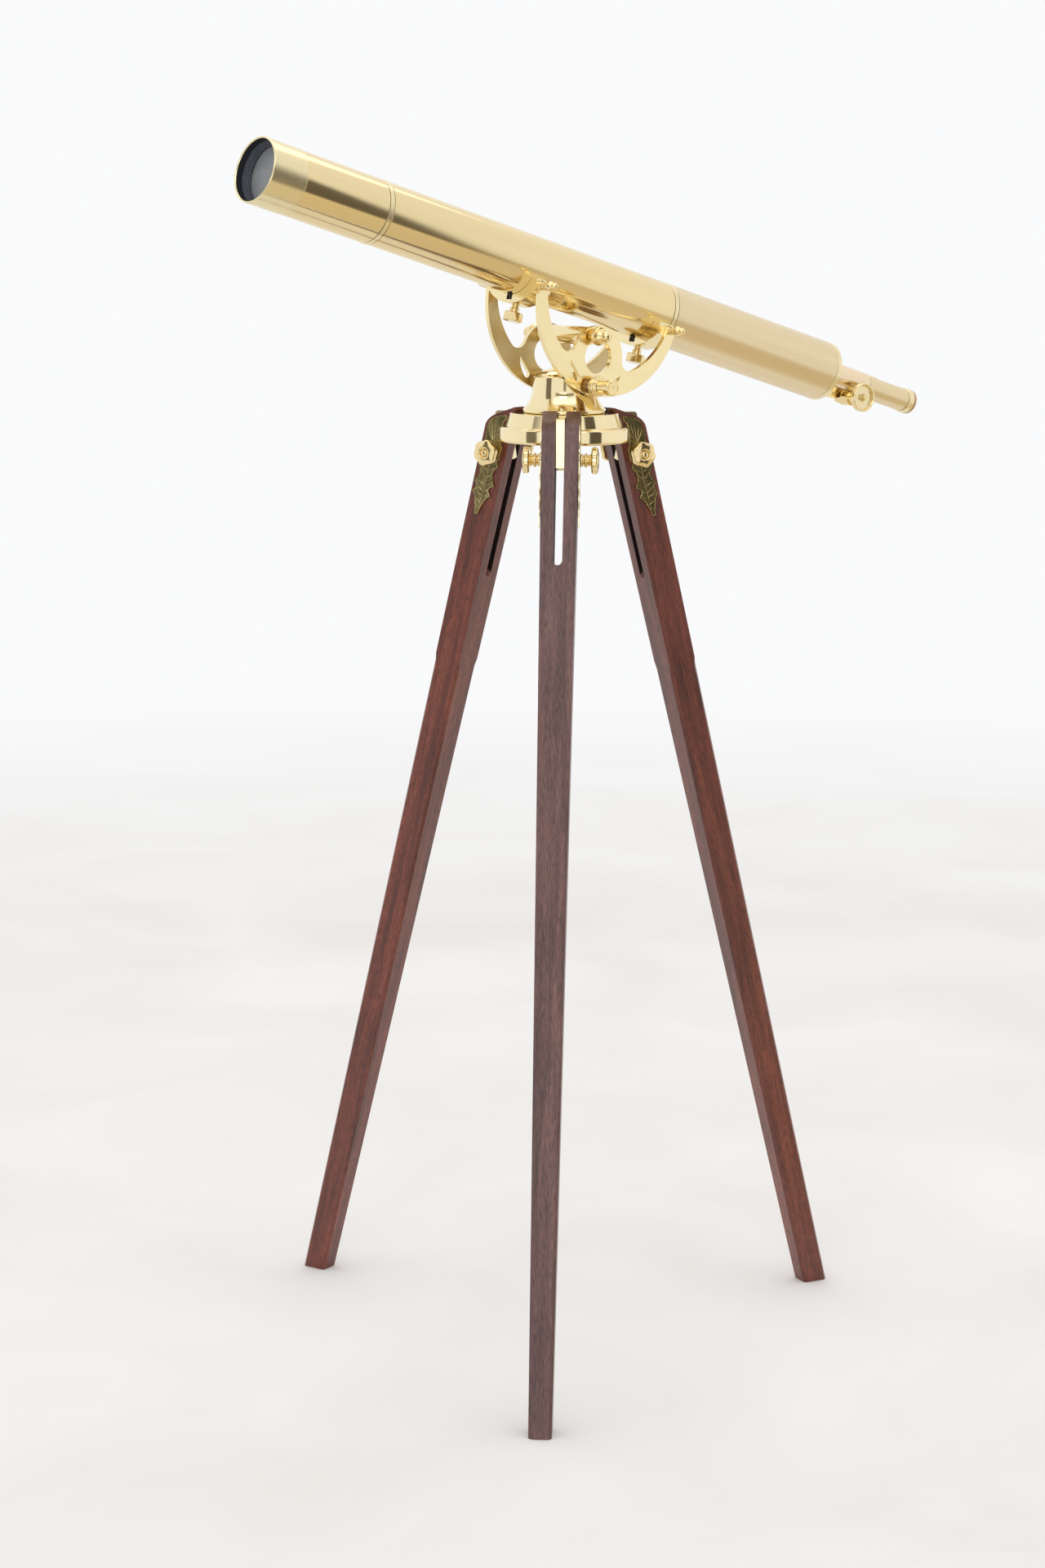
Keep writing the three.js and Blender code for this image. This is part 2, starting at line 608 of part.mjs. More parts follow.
function pinionShaftBody() {
  const profile = [
    [-36.4, 0], [-36.4, 2.8], [-35.6, 3.8], [-34.2, 3.8], [-34.2, SHAFT_RADIUS], [20.6, SHAFT_RADIUS],
    [20.6, 4.6], [23, 4.6], [24.4, 3.2], [24.4, 0],
  ];
  const shaft = turned('y', profile, 10).translate(PINION_X, 0, PINION_Z);
  return solid(shaft).add(solid(slab(pinionShape(), -4.4, 4.4)));
}

function pinionHousingBody() {
  const block = box(END_CAP_END + GAP, 529, -9.5, 9.5, -33, -13);
  const barrel = rod('y', 9.2, -20, 20, 16).translate(PINION_X, 0, PINION_Z - 1.5);
  const clearCollar = rod('x', COLLAR_RADIUS + 2 * GAP, 400, 600, 24);
  const chamber = rod('y', 7.6, -5.2, 5.2, 12).translate(PINION_X, 0, PINION_Z);
  const chamberTop = box(PINION_X - 7.6, PINION_X + 7.6, -5.2, 5.2, PINION_Z, 0);
  const bore = rod('y', SHAFT_RADIUS + GAP, -40, 40, 10).translate(PINION_X, 0, PINION_Z);
  return solid(block)
    .add(solid(barrel))
    .subtract(solid(clearCollar))
    .subtract(solid(chamber))
    .subtract(solid(chamberTop))
    .subtract(solid(bore));
}

function focusWheelBody() {
  const profile = [
    [-25.4, SHAFT_RADIUS + GAP], [-25.4, 7], [-27.4, 8], [-27.4, 17.8], [-25.6, 18.6], [-26, WHEEL_RADIUS],
    [-33.2, WHEEL_RADIUS], [-33.6, 18.4], [-29.4, 17], [-29.4, 5.6], [-33.9, 4.6],
    [-33.9, SHAFT_RADIUS + GAP],
  ];
  return solid(turnedRing('y', profile, 20).translate(PINION_X, 0, PINION_Z));
}

function focusCollarBody() {
  const profile = [
    [440, 16.9], [440, 22], [446.6, 22], [446.6, COLLAR_RADIUS], [COLLAR_END - 0.5, COLLAR_RADIUS],
    [COLLAR_END, COLLAR_RADIUS - 0.5], [COLLAR_END, 16.9],
  ];
  const window = box(PINION_X - 8.5, PINION_X + 8.5, -5.2, 5.2, -25, -10);
  return solid(turnedRing('x', profile, 24)).subtract(solid(window));
}

// ---------------------------------------------------------------- assembly

function addStand(parent) {
  const hub = new THREE.Group();
  hub.position.set(0, 0, HUB_BOTTOM_Z);
  parent.add(hub);
  addMesh(hub, 'tripod_hub', hubBody(), polishedBrass());
  LEG_AZIMUTHS.forEach((azimuth, i) => {
    const turn = new THREE.Group();
    turn.rotation.z = radians(azimuth);
    parent.add(turn);
    const leg = new THREE.Group();
    leg.position.set(LEG_PIVOT_R, 0, LEG_PIVOT_Z);
    leg.rotation.y = -LEAN;
    turn.add(leg);
    const name = LEG_NAMES[i];
    addMesh(leg, `leg_${name}`, legBody(), mahogany());
    addMesh(leg, `leaf_plate_${name}_a`, leafBody(1), antiqueBrass());
    addMesh(leg, `leaf_plate_${name}_b`, leafBody(-1), antiqueBrass());
    addMesh(leg, `leg_knob_bolt_${name}`, handKnobBody(1, true), goldBrass());
    addMesh(leg, `leg_knob_nut_${name}`, handKnobBody(-1, false), goldBrass());
  });
}

function addTurret(parent) {
  const turret = new THREE.Group();
  turret.position.set(0, 0, BELL_BOTTOM_Z);
  parent.add(turret);
  addMesh(turret, 'bell_turret', bellBody(), polishedBrass());
  const bolt = addMesh(turret, 'azimuth_bolt', azimuthBoltBody(), satinBrass());
  bolt.position.z = HUB_BOTTOM_Z - BELL_BOTTOM_Z;
}

function addCradle(cradle) {
  addMesh(cradle, 'altitude_axle', axleBody(), goldBrass());
  for (const [name, side] of [['near', -1], ['far', 1]]) {
    const span = (from, to) => (side > 0 ? [from, to] : [-to, -from]);
    const washer = tube('y', AXLE_RADIUS + GAP, 11.4, ...span(BOSS_END_Y + GAP, WASHER_END_Y), 16);
    const spacer = tube('y', AXLE_RADIUS + GAP, 12, ...span(WASHER_END_Y + GAP, PLATE_INNER_Y - GAP), 16);
    addMesh(cradle, `crescent_plate_${name}`, crescentBody(side), satinBrass());
    addMesh(cradle, `altitude_washer_${name}`, solid(washer), blackRubber());
    addMesh(cradle, `altitude_spacer_${name}`, solid(spacer), goldBrass());
    const knob = addMesh(cradle, `acorn_knob_${name}`, acornKnobBody(side, side < 0), goldBrass());
    knob.position.set(TIE.x, 0, TIE.z);
    for (const [end, along] of [['front', -1], ['rear', 1]]) {
      const screw = addMesh(cradle, `horn_screw_${end}_${name}`, hornScrewBody(side), goldBrass());
      screw.position.set(along * HORN.x, 0, HORN.z);
    }
  }
  const stack = tube('y', AXLE_RADIUS + GAP, 9.8, -PLATE_OUTER_Y - CLAMP_STACK, -PLATE_OUTER_Y - GAP, 16);
  addMesh(cradle, 'clamp_washer', solid(stack), blackMetal());
  addMesh(cradle, 'clamp_knob', clampKnobBody(), goldBrass());
  const sleeveTube = tube('y', 3.5, 12, GAP - PLATE_INNER_Y, PLATE_INNER_Y - GAP, 18);
  const sleeve = addMesh(cradle, 'spacer_sleeve', solid(sleeveTube), polishedBrass());
  sleeve.position.set(TIE.x, 0, TIE.z);
  for (const [end, along] of [['front', -1], ['rear', 1]]) {
    const place = new THREE.Group();
    place.position.set(along * SADDLE_X, 0, 0);
    place.rotation.z = along > 0 ? 0 : Math.PI;
    cradle.add(place);
    const padTop = TUBE_RISE - TUBE_RADIUS - GAP;
    addMesh(place, `saddle_${end}`, saddleBody(), goldBrass());
    const pad = box(-PAD_HALF, PAD_HALF, -5.2, 5.2, PAD_BOTTOM, padTop);
    addMesh(place, `saddle_pad_${end}`, solid(pad), blackRubber());
    addMesh(place, `thumbscrew_${end}`, thumbscrewBody(), goldBrass());
  }
}

function addOpticalTube(parent) {
  const axis = new THREE.Group();
  axis.position.set(0, 0, TUBE_RISE);
  parent.add(axis);
  const barrel = (from, to) => solid(tube('x', TUBE_BORE, TUBE_RADIUS, from, to, 28));
  const objectiveRing = turnedRing('x', [
    [OBJECTIVE_FRONT + 0.8, 39.6], [OBJECTIVE_FRONT, 40.3], [OBJECTIVE_FRONT, 41.6],
    [OBJECTIVE_FRONT + 0.8, RING_RADIUS], [OBJECTIVE_BACK, RING_RADIUS], [OBJECTIVE_BACK, 39.7],
    [OBJECTIVE_BACK + 12, 39.7], [OBJECTIVE_BACK + 12, 37.7], [OBJECTIVE_BACK - 4, 37.7],
    [OBJECTIVE_BACK - 4, 39.6],
  ], 28);
  addMesh(axis, 'objective_ring', solid(objectiveRing), satinBrass());
  const cell = turnedRing('x', [
    [-541, 39.3], [-541, 37.6], [-537, 37.4], [-537, 36], [-533, 35.8], [-533, 34.6], [-529.3, 34.6],
    [-529.3, 38.1], [-505, 38.1], [-505, 39.3],
  ], 28);
  addMesh(axis, 'objective_cell', solid(cell), blackMetal());
  const crown = lensBody({ vertex: -531, rim: -528.6 }, { vertex: -520.2, rim: -522.6 }, 37.8);
  const flint = lensBody({ vertex: -519.9, rim: -522.3 }, { vertex: -512, rim: -512 }, 37.8);
  addMesh(axis, 'objective_crown_lens', crown, glass());
  addMesh(axis, 'objective_flint_lens', flint, glass());
  addMesh(axis, 'lens_retaining_ring', solid(tube('x', 34.5, 37.8, -511.7, -506, 24)), blackMetal());
  addMesh(axis, 'front_tube', barrel(OBJECTIVE_BACK + GAP, FRONT_RING_START - GAP), polishedBrass());
  addMesh(axis, 'front_joint_ring', solid(jointRing(FRONT_RING_START, FRONT_RING_END)), satinBrass());
  addMesh(axis, 'main_tube', barrel(FRONT_RING_END + GAP, MIDDLE_RING_START - GAP), polishedBrass());
  addMesh(axis, 'middle_joint_ring', solid(jointRing(MIDDLE_RING_START, MIDDLE_RING_END)), satinBrass());
  addMesh(axis, 'rear_tube', barrel(MIDDLE_RING_END + GAP, END_CAP_START - GAP), satinBrass());
  const endCap = turnedRing('x', [
    [431, 37.7], [431, SLEEVE_RADIUS], [END_CAP_START, SLEEVE_RADIUS], [END_CAP_START, RING_RADIUS],
    [END_CAP_END - 1.2, RING_RADIUS], [END_CAP_END, 41.2], [END_CAP_END, 18.8], [447, 18.8], [447, 37.7],
  ], 28);
  addMesh(axis, 'end_cap', solid(endCap), satinBrass());
  addFocuser(axis);
}

function addFocuser(axis) {
  addMesh(axis, 'focus_collar', focusCollarBody(), roseBrass());
  const gland = tube('x', 16.9, 17.7, COLLAR_END + GAP, GLAND_END, 24);
  addMesh(axis, 'gland_ring', solid(gland), satinBrass());
  addMesh(axis, 'pinion_housing', pinionHousingBody(), goldBrass());
  addMesh(axis, 'pinion_shaft', pinionShaftBody(), goldBrass());
  addMesh(axis, 'focus_wheel', focusWheelBody(), goldBrass());
  addMesh(axis, 'drawtube', drawtubeBody(), satinBrass());
  const erector = lensBody({ vertex: 416, rim: 418 }, { vertex: 424, rim: 422 }, 14.7);
  addMesh(axis, 'erector_lens', erector, glass());
  const eyepieceRing = turnedRing('x', [
    [600, 12.4], [600, 14.7], [DRAWTUBE_END + GAP, 14.7], [DRAWTUBE_END + GAP, 17.2], [621.4, 17.8],
    [635.4, 17.8], [EYEPIECE_END, 16.8], [EYEPIECE_END, 15], [632, 9], [630, 9], [630, 12.4],
  ], 22);
  addMesh(axis, 'eyepiece_ring', solid(eyepieceRing), satinBrass());
  const eyeLens = lensBody({ vertex: 622, rim: 624 }, { vertex: 629, rim: 627.6 }, 12.1);
  addMesh(axis, 'eye_lens', eyeLens, glass());
}

const telescope = new THREE.Group();
addStand(telescope);
addTurret(telescope);
const cradle = new THREE.Group();
cradle.position.set(0, 0, ALTITUDE_Z);
cradle.rotation.y = radians(REST_ALTITUDE);
telescope.add(cradle);
addCradle(cradle);
addOpticalTube(cradle);

// Origin: on the floor, under the middle of the whole object.
const middle = new THREE.Box3().setFromObject(telescope, true).getCenter(new THREE.Vector3());
telescope.position.set(-middle.x, -middle.y, 0);

export default telescope;
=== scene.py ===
import json
import math

import bmesh
import bpy
from mathutils import Matrix, Vector


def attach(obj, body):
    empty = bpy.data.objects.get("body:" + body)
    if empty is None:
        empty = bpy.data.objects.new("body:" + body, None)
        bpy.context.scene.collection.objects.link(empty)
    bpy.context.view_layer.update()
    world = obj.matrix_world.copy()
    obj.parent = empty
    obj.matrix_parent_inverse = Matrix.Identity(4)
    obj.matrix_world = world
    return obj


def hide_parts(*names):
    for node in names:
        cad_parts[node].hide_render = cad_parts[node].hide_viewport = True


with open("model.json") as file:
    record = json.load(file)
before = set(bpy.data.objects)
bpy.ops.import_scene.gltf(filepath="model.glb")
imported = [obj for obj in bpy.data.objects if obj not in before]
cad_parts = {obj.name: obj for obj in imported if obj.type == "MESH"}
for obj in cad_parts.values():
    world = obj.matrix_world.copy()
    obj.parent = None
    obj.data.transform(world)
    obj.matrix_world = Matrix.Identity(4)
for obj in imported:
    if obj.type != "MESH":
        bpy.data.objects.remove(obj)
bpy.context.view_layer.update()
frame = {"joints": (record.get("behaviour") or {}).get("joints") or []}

# Lengths are millimetres in each piece's own axes, unless a name ends in _M.
MM = 0.001
TAU = math.tau

# ---------------- places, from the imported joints

JOINTS = {joint["name"]: joint for joint in frame["joints"]}
LEGS = ("front", "right", "back")
LEG_LEAN = math.radians(14.66)
TUBE_RISE = 132.1
PINION_X = 515
PINION_Z = -21.3


def axes_at(origin, x_axis, y_axis):
    """A frame with its origin and its X and Y directions given in the row frame."""
    x = Vector(x_axis).normalized()
    y = Vector(y_axis).normalized()
    place = Matrix((x, y, x.cross(y))).transposed().to_4x4()
    place.translation = Vector(origin)
    return place


TILT = JOINTS["altitude_tilt"]
TURN = JOINTS["azimuth_turn"]
CRADLE = axes_at(TILT["pos_m"], JOINTS["focus_slide"]["axis"], TILT["axis"])
TUBE = CRADLE @ Matrix.Translation((0, 0, TUBE_RISE * MM))
HUB_X_M, HUB_Y_M, TURRET_Z_M = TURN["pos_m"]
TURRET = Matrix.Translation(TURN["pos_m"])
HUB_HEIGHT = 39
GAP = 0.3
HUB = TURRET @ Matrix.Translation((0, 0, -(HUB_HEIGHT + GAP) * MM))


def leg_azimuth(name):
    x, y, _ = JOINTS[f"leg_{name}_fold"]["axis"]
    return math.atan2(-x, y)


def leg_place(name):
    """X outward, Y along the pivot bolt and Z up along the wood, from the pivot."""
    joint = JOINTS[f"leg_{name}_fold"]
    azimuth = leg_azimuth(name)
    outward = Vector((math.cos(azimuth), math.sin(azimuth), 0))
    x_axis = outward * math.cos(LEG_LEAN) + Vector((0, 0, math.sin(LEG_LEAN)))
    return axes_at(joint["pos_m"], x_axis, joint["axis"])


# ---------------- shapes: (vertices, faces)


def fillet(profile, radius, closed=False, steps=3):
    """The profile with its corners rounded by short curves."""
    points = [Vector(p) for p in profile]
    rounded = []
    for i, corner in enumerate(points):
        before = points[i - 1] - corner
        after = points[(i + 1) % len(points)] - corner
        reach = min(radius, before.length * 0.45, after.length * 0.45)
        at_end = not closed and i in (0, len(points) - 1)
        if at_end or reach < 0.01 or before.angle(-after) < math.radians(10):
            rounded.append(corner)
            continue
        start = corner + before.normalized() * reach
        end = corner + after.normalized() * reach
        for k in range(steps + 1):
            t = k / steps
            rounded.append(start * (1 - t) ** 2 + corner * 2 * t * (1 - t) + end * t * t)
    return rounded


def around(axis, along, radius, angle):
    """A point at an angle round one of the axes."""
    a, b = radius * math.cos(angle), radius * math.sin(angle)
    return {"x": (along, a, b), "y": (b, along, a), "z": (a, b, along)}[axis]


def turned(axis, profile, closed=False, segments=96, soften=0.4, radius_at=None):
    """A profile of [along, radius] points turned about an axis; a hollow piece's profile is closed."""
    vertices, rings = [], []
    for along, radius in fillet(profile, soften, closed):
        if radius < 1e-6:
            rings.append([len(vertices)] * segments)
            vertices.append(around(axis, along, 0, 0))
            continue
        rings.append(list(range(len(vertices), len(vertices) + segments)))
        for k in range(segments):
            angle = TAU * k / segments
            reach = radius_at(radius, angle) if radius_at else radius
            vertices.append(around(axis, along, reach, angle))
    faces = []
    for a, b in zip(rings, rings[1:] + (rings[:1] if closed else [])):
        for k in range(segments):
            n = (k + 1) % segments
            corners = list(dict.fromkeys([a[k], a[n], b[n], b[k]]))
            if len(corners) > 2:
                faces.append(corners)
    return vertices, faces


def from_base(base, profile):
    """A profile given by its distances from a base."""
    return [(base + along, radius) for along, radius in profile]


def ring(axis, inner, outer, start, end, soften=0.4, segments=96):
    return turned(axis, [(start, inner), (start, outer), (end, outer), (end, inner)], True, segments, soften)


def rod(axis, radius, start, end, soften=0.4, segments=64):
    return turned(axis, [(start, 0), (start, radius), (end, radius), (end, 0)], False, segments, soften)


def outward_mesh(name, shape, scale=1.0):
    """A Blender mesh of the shape, with its faces turned outward."""
    data = bpy.data.meshes.new(name)
    data.from_pydata([Vector(v) * scale for v in shape[0]], [], shape[1])
    mesh = bmesh.new()
    mesh.from_mesh(data)
    bmesh.ops.recalc_face_normals(mesh, faces=mesh.faces[:])
    mesh.to_mesh(data)
    mesh.free()
    return data


def from_bmesh(mesh):
    bmesh.ops.recalc_face_normals(mesh, faces=mesh.faces[:])
    mesh.verts.index_update()
    shape = ([v.co.copy() for v in mesh.verts], [[v.index for v in f.verts] for f in mesh.faces])
    mesh.free()
    return shape


def plate(outline, low, high, holes=()):
    """A flat plate drawn in X and Z, from Y = low to Y = high."""
    mesh = bmesh.new()
    edges = []
    for loop in (outline, *holes):
        corners = [mesh.verts.new((x, low, z)) for x, z in dict.fromkeys(loop)]
        edges += [mesh.edges.new((a, b)) for a, b in zip(corners, corners[1:] + corners[:1])]
    bmesh.ops.triangle_fill(mesh, use_beauty=True, edges=edges)
    made = bmesh.ops.extrude_face_region(mesh, geom=mesh.faces[:])
    moved = [v for v in made["geom"] if isinstance(v, bmesh.types.BMVert)]
    bmesh.ops.translate(mesh, verts=moved, vec=(0, high - low, 0))
    return from_bmesh(mesh)


def block(x0, x1, y0, y1, z0, z1):
    return plate([(x0, z0), (x1, z0), (x1, z1), (x0, z1)], y0, y1)


def moved(shape, offset=(0, 0, 0), turn=0, axis="Z"):
    """The shape turned about an axis through the origin, then shifted."""
    rotation = Matrix.Rotation(turn, 3, axis)
    return [rotation @ Vector(v) + Vector(offset) for v in shape[0]], shape[1]


def joined(*shapes):
    vertices, faces = [], []
    for shape in shapes:
        faces += [[i + len(vertices) for i in face] for face in shape[1]]
        vertices += shape[0]
    return vertices, faces


def put(name, data, place=Matrix()):
    """A new object in the scene, in its place."""
    item = bpy.data.objects.new(name, data)
    bpy.context.scene.collection.objects.link(item)
    item.matrix_world = place
    return item


def boolean(shape, other, operation="DIFFERENCE"):
    """The shape cut by, joined to or kept inside the other one."""
    kept = put("kept", outward_mesh("kept", shape))
    tool = put("tool", outward_mesh("tool", other))
    step = kept.modifiers.new("boolean", "BOOLEAN")
    step.operation = operation
    step.solver = "EXACT"
    step.use_self = True
    step.object = tool
    bpy.context.view_layer.update()
    mesh = bmesh.new()
    mesh.from_object(kept, bpy.context.evaluated_depsgraph_get())
    for item in (kept, tool):
        bpy.data.objects.remove(item)
    bmesh.ops.remove_doubles(mesh, verts=mesh.verts[:], dist=0.002)
    return from_bmesh(mesh)


def arc(x, z, radius, start, end, steps):
    """Points on an arc drawn in X and Z, ends included; angles in degrees."""
    angles = [math.radians(start + (end - start) * k / steps) for k in range(steps + 1)]
    return [(x + radius * math.cos(a), z + radius * math.sin(a)) for a in angles]


def curve(start, control, end, steps):
    """Points on a quadratic curve, without its last point."""
    points = []
    for k in range(steps):
        t = k / steps
        points.append(tuple(
            (1 - t) ** 2 * a + 2 * t * (1 - t) * b + t * t * c for a, b, c in zip(start, control, end)
        ))
    return points


# ---------------- materials


def add_node(tree, kind, *sources, **inputs):
    """A new node; sources link to its first inputs, and the named ones (_ for a space) are set or linked."""
    node = tree.nodes.new(f"ShaderNode{kind}")
    for source, socket in zip(sources, node.inputs):
        tree.links.new(source, socket)
    for name, given in inputs.items():
        socket = node.inputs[name.replace("_", " ")]
        if isinstance(given, bpy.types.NodeSocket):
            tree.links.new(given, socket)
        else:
            socket.default_value = given
    return node


class Surface:
    """A material and short ways to add nodes that vary its shader."""

    def __init__(self, name, color, roughness, metallic=0.0):
        self.material = bpy.data.materials.new(name)
        self.material.use_nodes = True
        self.tree = self.material.node_tree
        self.shader = self.tree.nodes["Principled BSDF"]
        self.material.diffuse_color = (*color, 1)
        self.set("Base Color", (*color, 1))
        self.set("Roughness", roughness)
        self.set("Metallic", metallic)
        self.position = self.add("TexCoord").outputs["Object"]

    def add(self, kind, *sources, **inputs):
        return add_node(self.tree, kind, *sources, **inputs)

    def set(self, socket, value):
        self.shader.inputs[socket].default_value = value

    def link(self, output, socket):
        self.tree.links.new(output, self.shader.inputs[socket])

    def turn_to(self, place):
        """Lines the grain up with the axes of a place, for a mesh drawn in the row frame."""
        node = self.add("VectorRotate", Vector=self.position)
        node.rotation_type = "EULER_XYZ"
        node.inputs["Rotation"].default_value = place.to_3x3().inverted().to_euler()
        self.position = node.outputs["Vector"]

    def noise(self, stretch, scale, detail=4.0, distortion=0.0):
        """Noise in the piece's own axes; a small stretch draws it out along that axis."""
        mapping = self.add("Mapping", Vector=self.position, Scale=stretch)
        node = self.add("TexNoise", Vector=mapping.outputs["Vector"], Scale=scale, Detail=detail,
                        Distortion=distortion)
        return node.outputs["Fac"]

    def ramp(self, source, stops):
        node = self.add("ValToRGB", source)
        elements = node.color_ramp.elements
        while len(elements) < len(stops):
            elements.new(0.5)
        for element, (place, color) in zip(elements, stops):
            element.position = place
            element.color = (*color, 1)
        return node.outputs["Color"]

    def multiply(self, first, second):
        node = self.add("Mix", Factor=1.0)
        node.data_type = "RGBA"
        node.blend_type = "MULTIPLY"
        a, b = [socket for socket in node.inputs if socket.type == "RGBA"]
        self.tree.links.new(first, a)
        self.tree.links.new(second, b)
        return [socket for socket in node.outputs if socket.type == "RGBA"][0]

    def span(self, source, low, high, source_low=0.3, source_high=0.7):
        node = self.add("MapRange", source, From_Min=source_low, From_Max=source_high, To_Min=low, To_Max=high)
        return node.outputs["Result"]

    def bump(self, height, strength, distance_m):
        node = self.add("Bump", Height=height, Strength=strength, Distance=distance_m)
        self.link(node.outputs["Normal"], "Normal")


def shade(color, factor):
    return tuple(min(1.0, c * factor) for c in color)


def brass(name, color, roughness, stretch=(1, 1, 1), grain=60.0, relief_m=0.000004, tarnish=0.06):
    """Brass whose polish lines run along the axis with the smallest stretch."""
    surface = Surface(name, color, roughness, 1.0)
    lines = surface.noise(stretch, grain * 14, 3.0)
    clouds = surface.noise(stretch, grain * 0.8, 4.0, 0.3)
    tone = surface.ramp(clouds, [(0.3, shade(color, 1 - tarnish)), (0.7, shade(color, 1 + tarnish * 0.4))])
    surface.link(tone, "Base Color")
    wear = surface.noise(stretch, grain * 2.5, 4.0)
    surface.link(surface.span(wear, roughness * 0.92, roughness * 1.12), "Roughness")
    surface.bump(lines, 0.2, relief_m)
    return surface.material


def mahogany(name, place, deep, mid, pale):
    """Open-pored wood: slow colour figure, fine short pores along the length and a thin satin finish."""
    surface = Surface(name, mid, 0.38)
    surface.turn_to(place)
    figure = surface.noise((1, 1, 0.06), 90, 5.0, 0.6)
    tone = surface.ramp(figure, [(0.32, deep), (0.5, mid), (0.70, pale)])
    drift = surface.noise((1, 1, 0.3), 9, 2.0)
    tone = surface.multiply(tone, surface.ramp(drift, [(0.3, (0.8, 0.8, 0.85)), (0.7, (1, 1, 1))]))
    pores = surface.noise((1, 1, 0.055), 1500, 2.0)
    dark = surface.ramp(pores, [(0.38, (0.40, 0.33, 0.31)), (0.56, (1, 1, 1))])
    surface.link(surface.multiply(tone, dark), "Base Color")
    surface.link(surface.span(pores, 0.52, 0.34), "Roughness")
    surface.set("Coat Weight", 0.35)
    surface.set("Coat Roughness", 0.28)
    surface.bump(pores, 0.35, 0.00010)
    return surface.material


def leaf_brass(name):
    base = (0.27, 0.225, 0.105)
    surface = Surface(name, base, 0.26, 1.0)
    blotches = surface.noise((1, 1, 1), 90, 5.0, 0.6)
    tone = surface.ramp(blotches, [(0.34, (0.15, 0.13, 0.06)), (0.5, base), (0.66, (0.46, 0.385, 0.18))])
    surface.link(tone, "Base Color")
    surface.link(surface.span(blotches, 0.32, 0.2), "Roughness")
    surface.bump(surface.noise((1, 1, 1), 900, 4.0), 0.25, 0.00002)
    return surface.material


def dark_metal(name, color, roughness):
    surface = Surface(name, color, roughness, 0.35)
    specks = surface.noise((1, 1, 1), 700)
    surface.link(surface.ramp(specks, [(0.35, shade(color, 0.7)), (0.65, shade(color, 1.4))]), "Base Color")
    surface.link(surface.span(specks, roughness * 0.8, roughness * 1.2), "Roughness")
    surface.bump(specks, 0.2, 0.00003)
    return surface.material


def rubber(name):
    surface = Surface(name, (0.022, 0.018, 0.016), 0.8)
    grain = surface.noise((1, 1, 1), 1400)
    tone = surface.ramp(grain, [(0.3, (0.012, 0.010, 0.009)), (0.7, (0.035, 0.029, 0.026))])
    surface.link(tone, "Base Color")
    surface.bump(grain, 0.5, 0.0001)
    return surface.material


# Painted reflection: the glass is an opaque pale grey with a faint mottle, standing in for the bright room seen
# hazily in the lens; its real gloss is turned low.
def glass_with_painted_reflection(name):
    surface = Surface(name, (0.27, 0.275, 0.285), 0.37)
    painted_haze = surface.noise((1, 1, 1), 45, 4.0, 0.5)
    surface.link(surface.ramp(painted_haze, [(0.3, (0.25, 0.255, 0.265)), (0.7, (0.29, 0.295, 0.305))]), "Base Color")
    surface.link(surface.span(painted_haze, 0.32, 0.42), "Roughness")
    surface.set("IOR", 1.52)
    surface.set("Specular IOR Level", 0.2)
    return surface.material


ALONG_X, ALONG_Y, ALONG_Z = (0.04, 1, 1), (1, 0.04, 1), (1, 1, 0.04)
TUBE_BRASS = brass("tube_brass", (0.86, 0.70, 0.395), 0.13, ALONG_X)
REAR_BRASS = brass("rear_tube_brass", (0.80, 0.655, 0.41), 0.24, ALONG_X)
RING_BRASS = brass("brushed_ring_brass", (0.87, 0.75, 0.455), 0.22, ALONG_X)
SATIN_BRASS = brass("satin_plate_brass", (0.95, 0.795, 0.455), 0.17, (1, 1, 1), 50.0, 0.000002, 0.03)
INNER_BRASS = brass("unpolished_plate_brass", (0.66, 0.52, 0.27), 0.3, (1, 1, 1), 50.0, 0.000004, 0.08)
RIM_BRASS = brass("plate_rim_brass", (0.91, 0.77, 0.45), 0.13, (1, 1, 1))
HUB_BRASS = brass("polished_hub_brass", (0.92, 0.78, 0.47), 0.07, ALONG_Z, 30.0, 0.000002, 0.04)
GOLD_BRASS = brass("golden_knob_brass", (0.89, 0.72, 0.385), 0.09, ALONG_Y, 60.0, 0.000002)
ROSE_BRASS = brass("rose_collar_brass", (0.88, 0.71, 0.49), 0.22, ALONG_X)
COPPER_BRASS = brass("copper_rim_brass", (0.55, 0.38, 0.24), 0.22, ALONG_X)
FIN_BRASS = brass("fin_brass", (0.93, 0.82, 0.54), 0.14, ALONG_Z)
WHEEL_BRASS = brass("wheel_brass", (0.88, 0.74, 0.44), 0.2, ALONG_Z, 60.0, 0.000002)
LEAF_BRASS = leaf_brass("engraved_leaf_brass")
# The front leg gets lighter, greyer-brown wood colours: partly the wood's own tone and partly a painted sheen,
# standing in for the bright room reflected in its face.
RED_WOOD = ((0.105, 0.0175, 0.0088), (0.185, 0.035, 0.0160), (0.262, 0.058, 0.028))
FRONT_SHEEN_WOOD = ((0.092, 0.032, 0.027), (0.160, 0.062, 0.052), (0.240, 0.105, 0.088))
WOODS = {
    name: mahogany(f"mahogany_{name}", leg_place(name), *(FRONT_SHEEN_WOOD if name == "front" else RED_WOOD))
    for name in LEGS
}
CELL_ENAMEL = dark_metal("grey_cell_enamel", (0.080, 0.086, 0.108), 0.3)
BLACKENED = dark_metal("blackened_metal", (0.018, 0.018, 0.024), 0.35)
WASHER_BRONZE = brass("washer_bronze", (0.34, 0.22, 0.12), 0.22, ALONG_Y, 60.0, 0.000002)
# Painted shadow: near-black colour for the faces inside each leg's slot, standing in for the shade that falls
# in that narrow recess.
SLOT_PAINTED_SHADE = dark_metal("painted_slot_shadow", (0.016, 0.006, 0.005), 0.6)
RUBBER = rubber("black_rubber")
GLASS = glass_with_painted_reflection("glass_with_painted_reflection")

# A slot and its usual material.
GOLD = ("gold_brass", GOLD_BRASS)
BRUSHED = ("satin_brass", RING_BRASS)
LENS = ("lens_glass", GLASS)

# ---------------- pieces


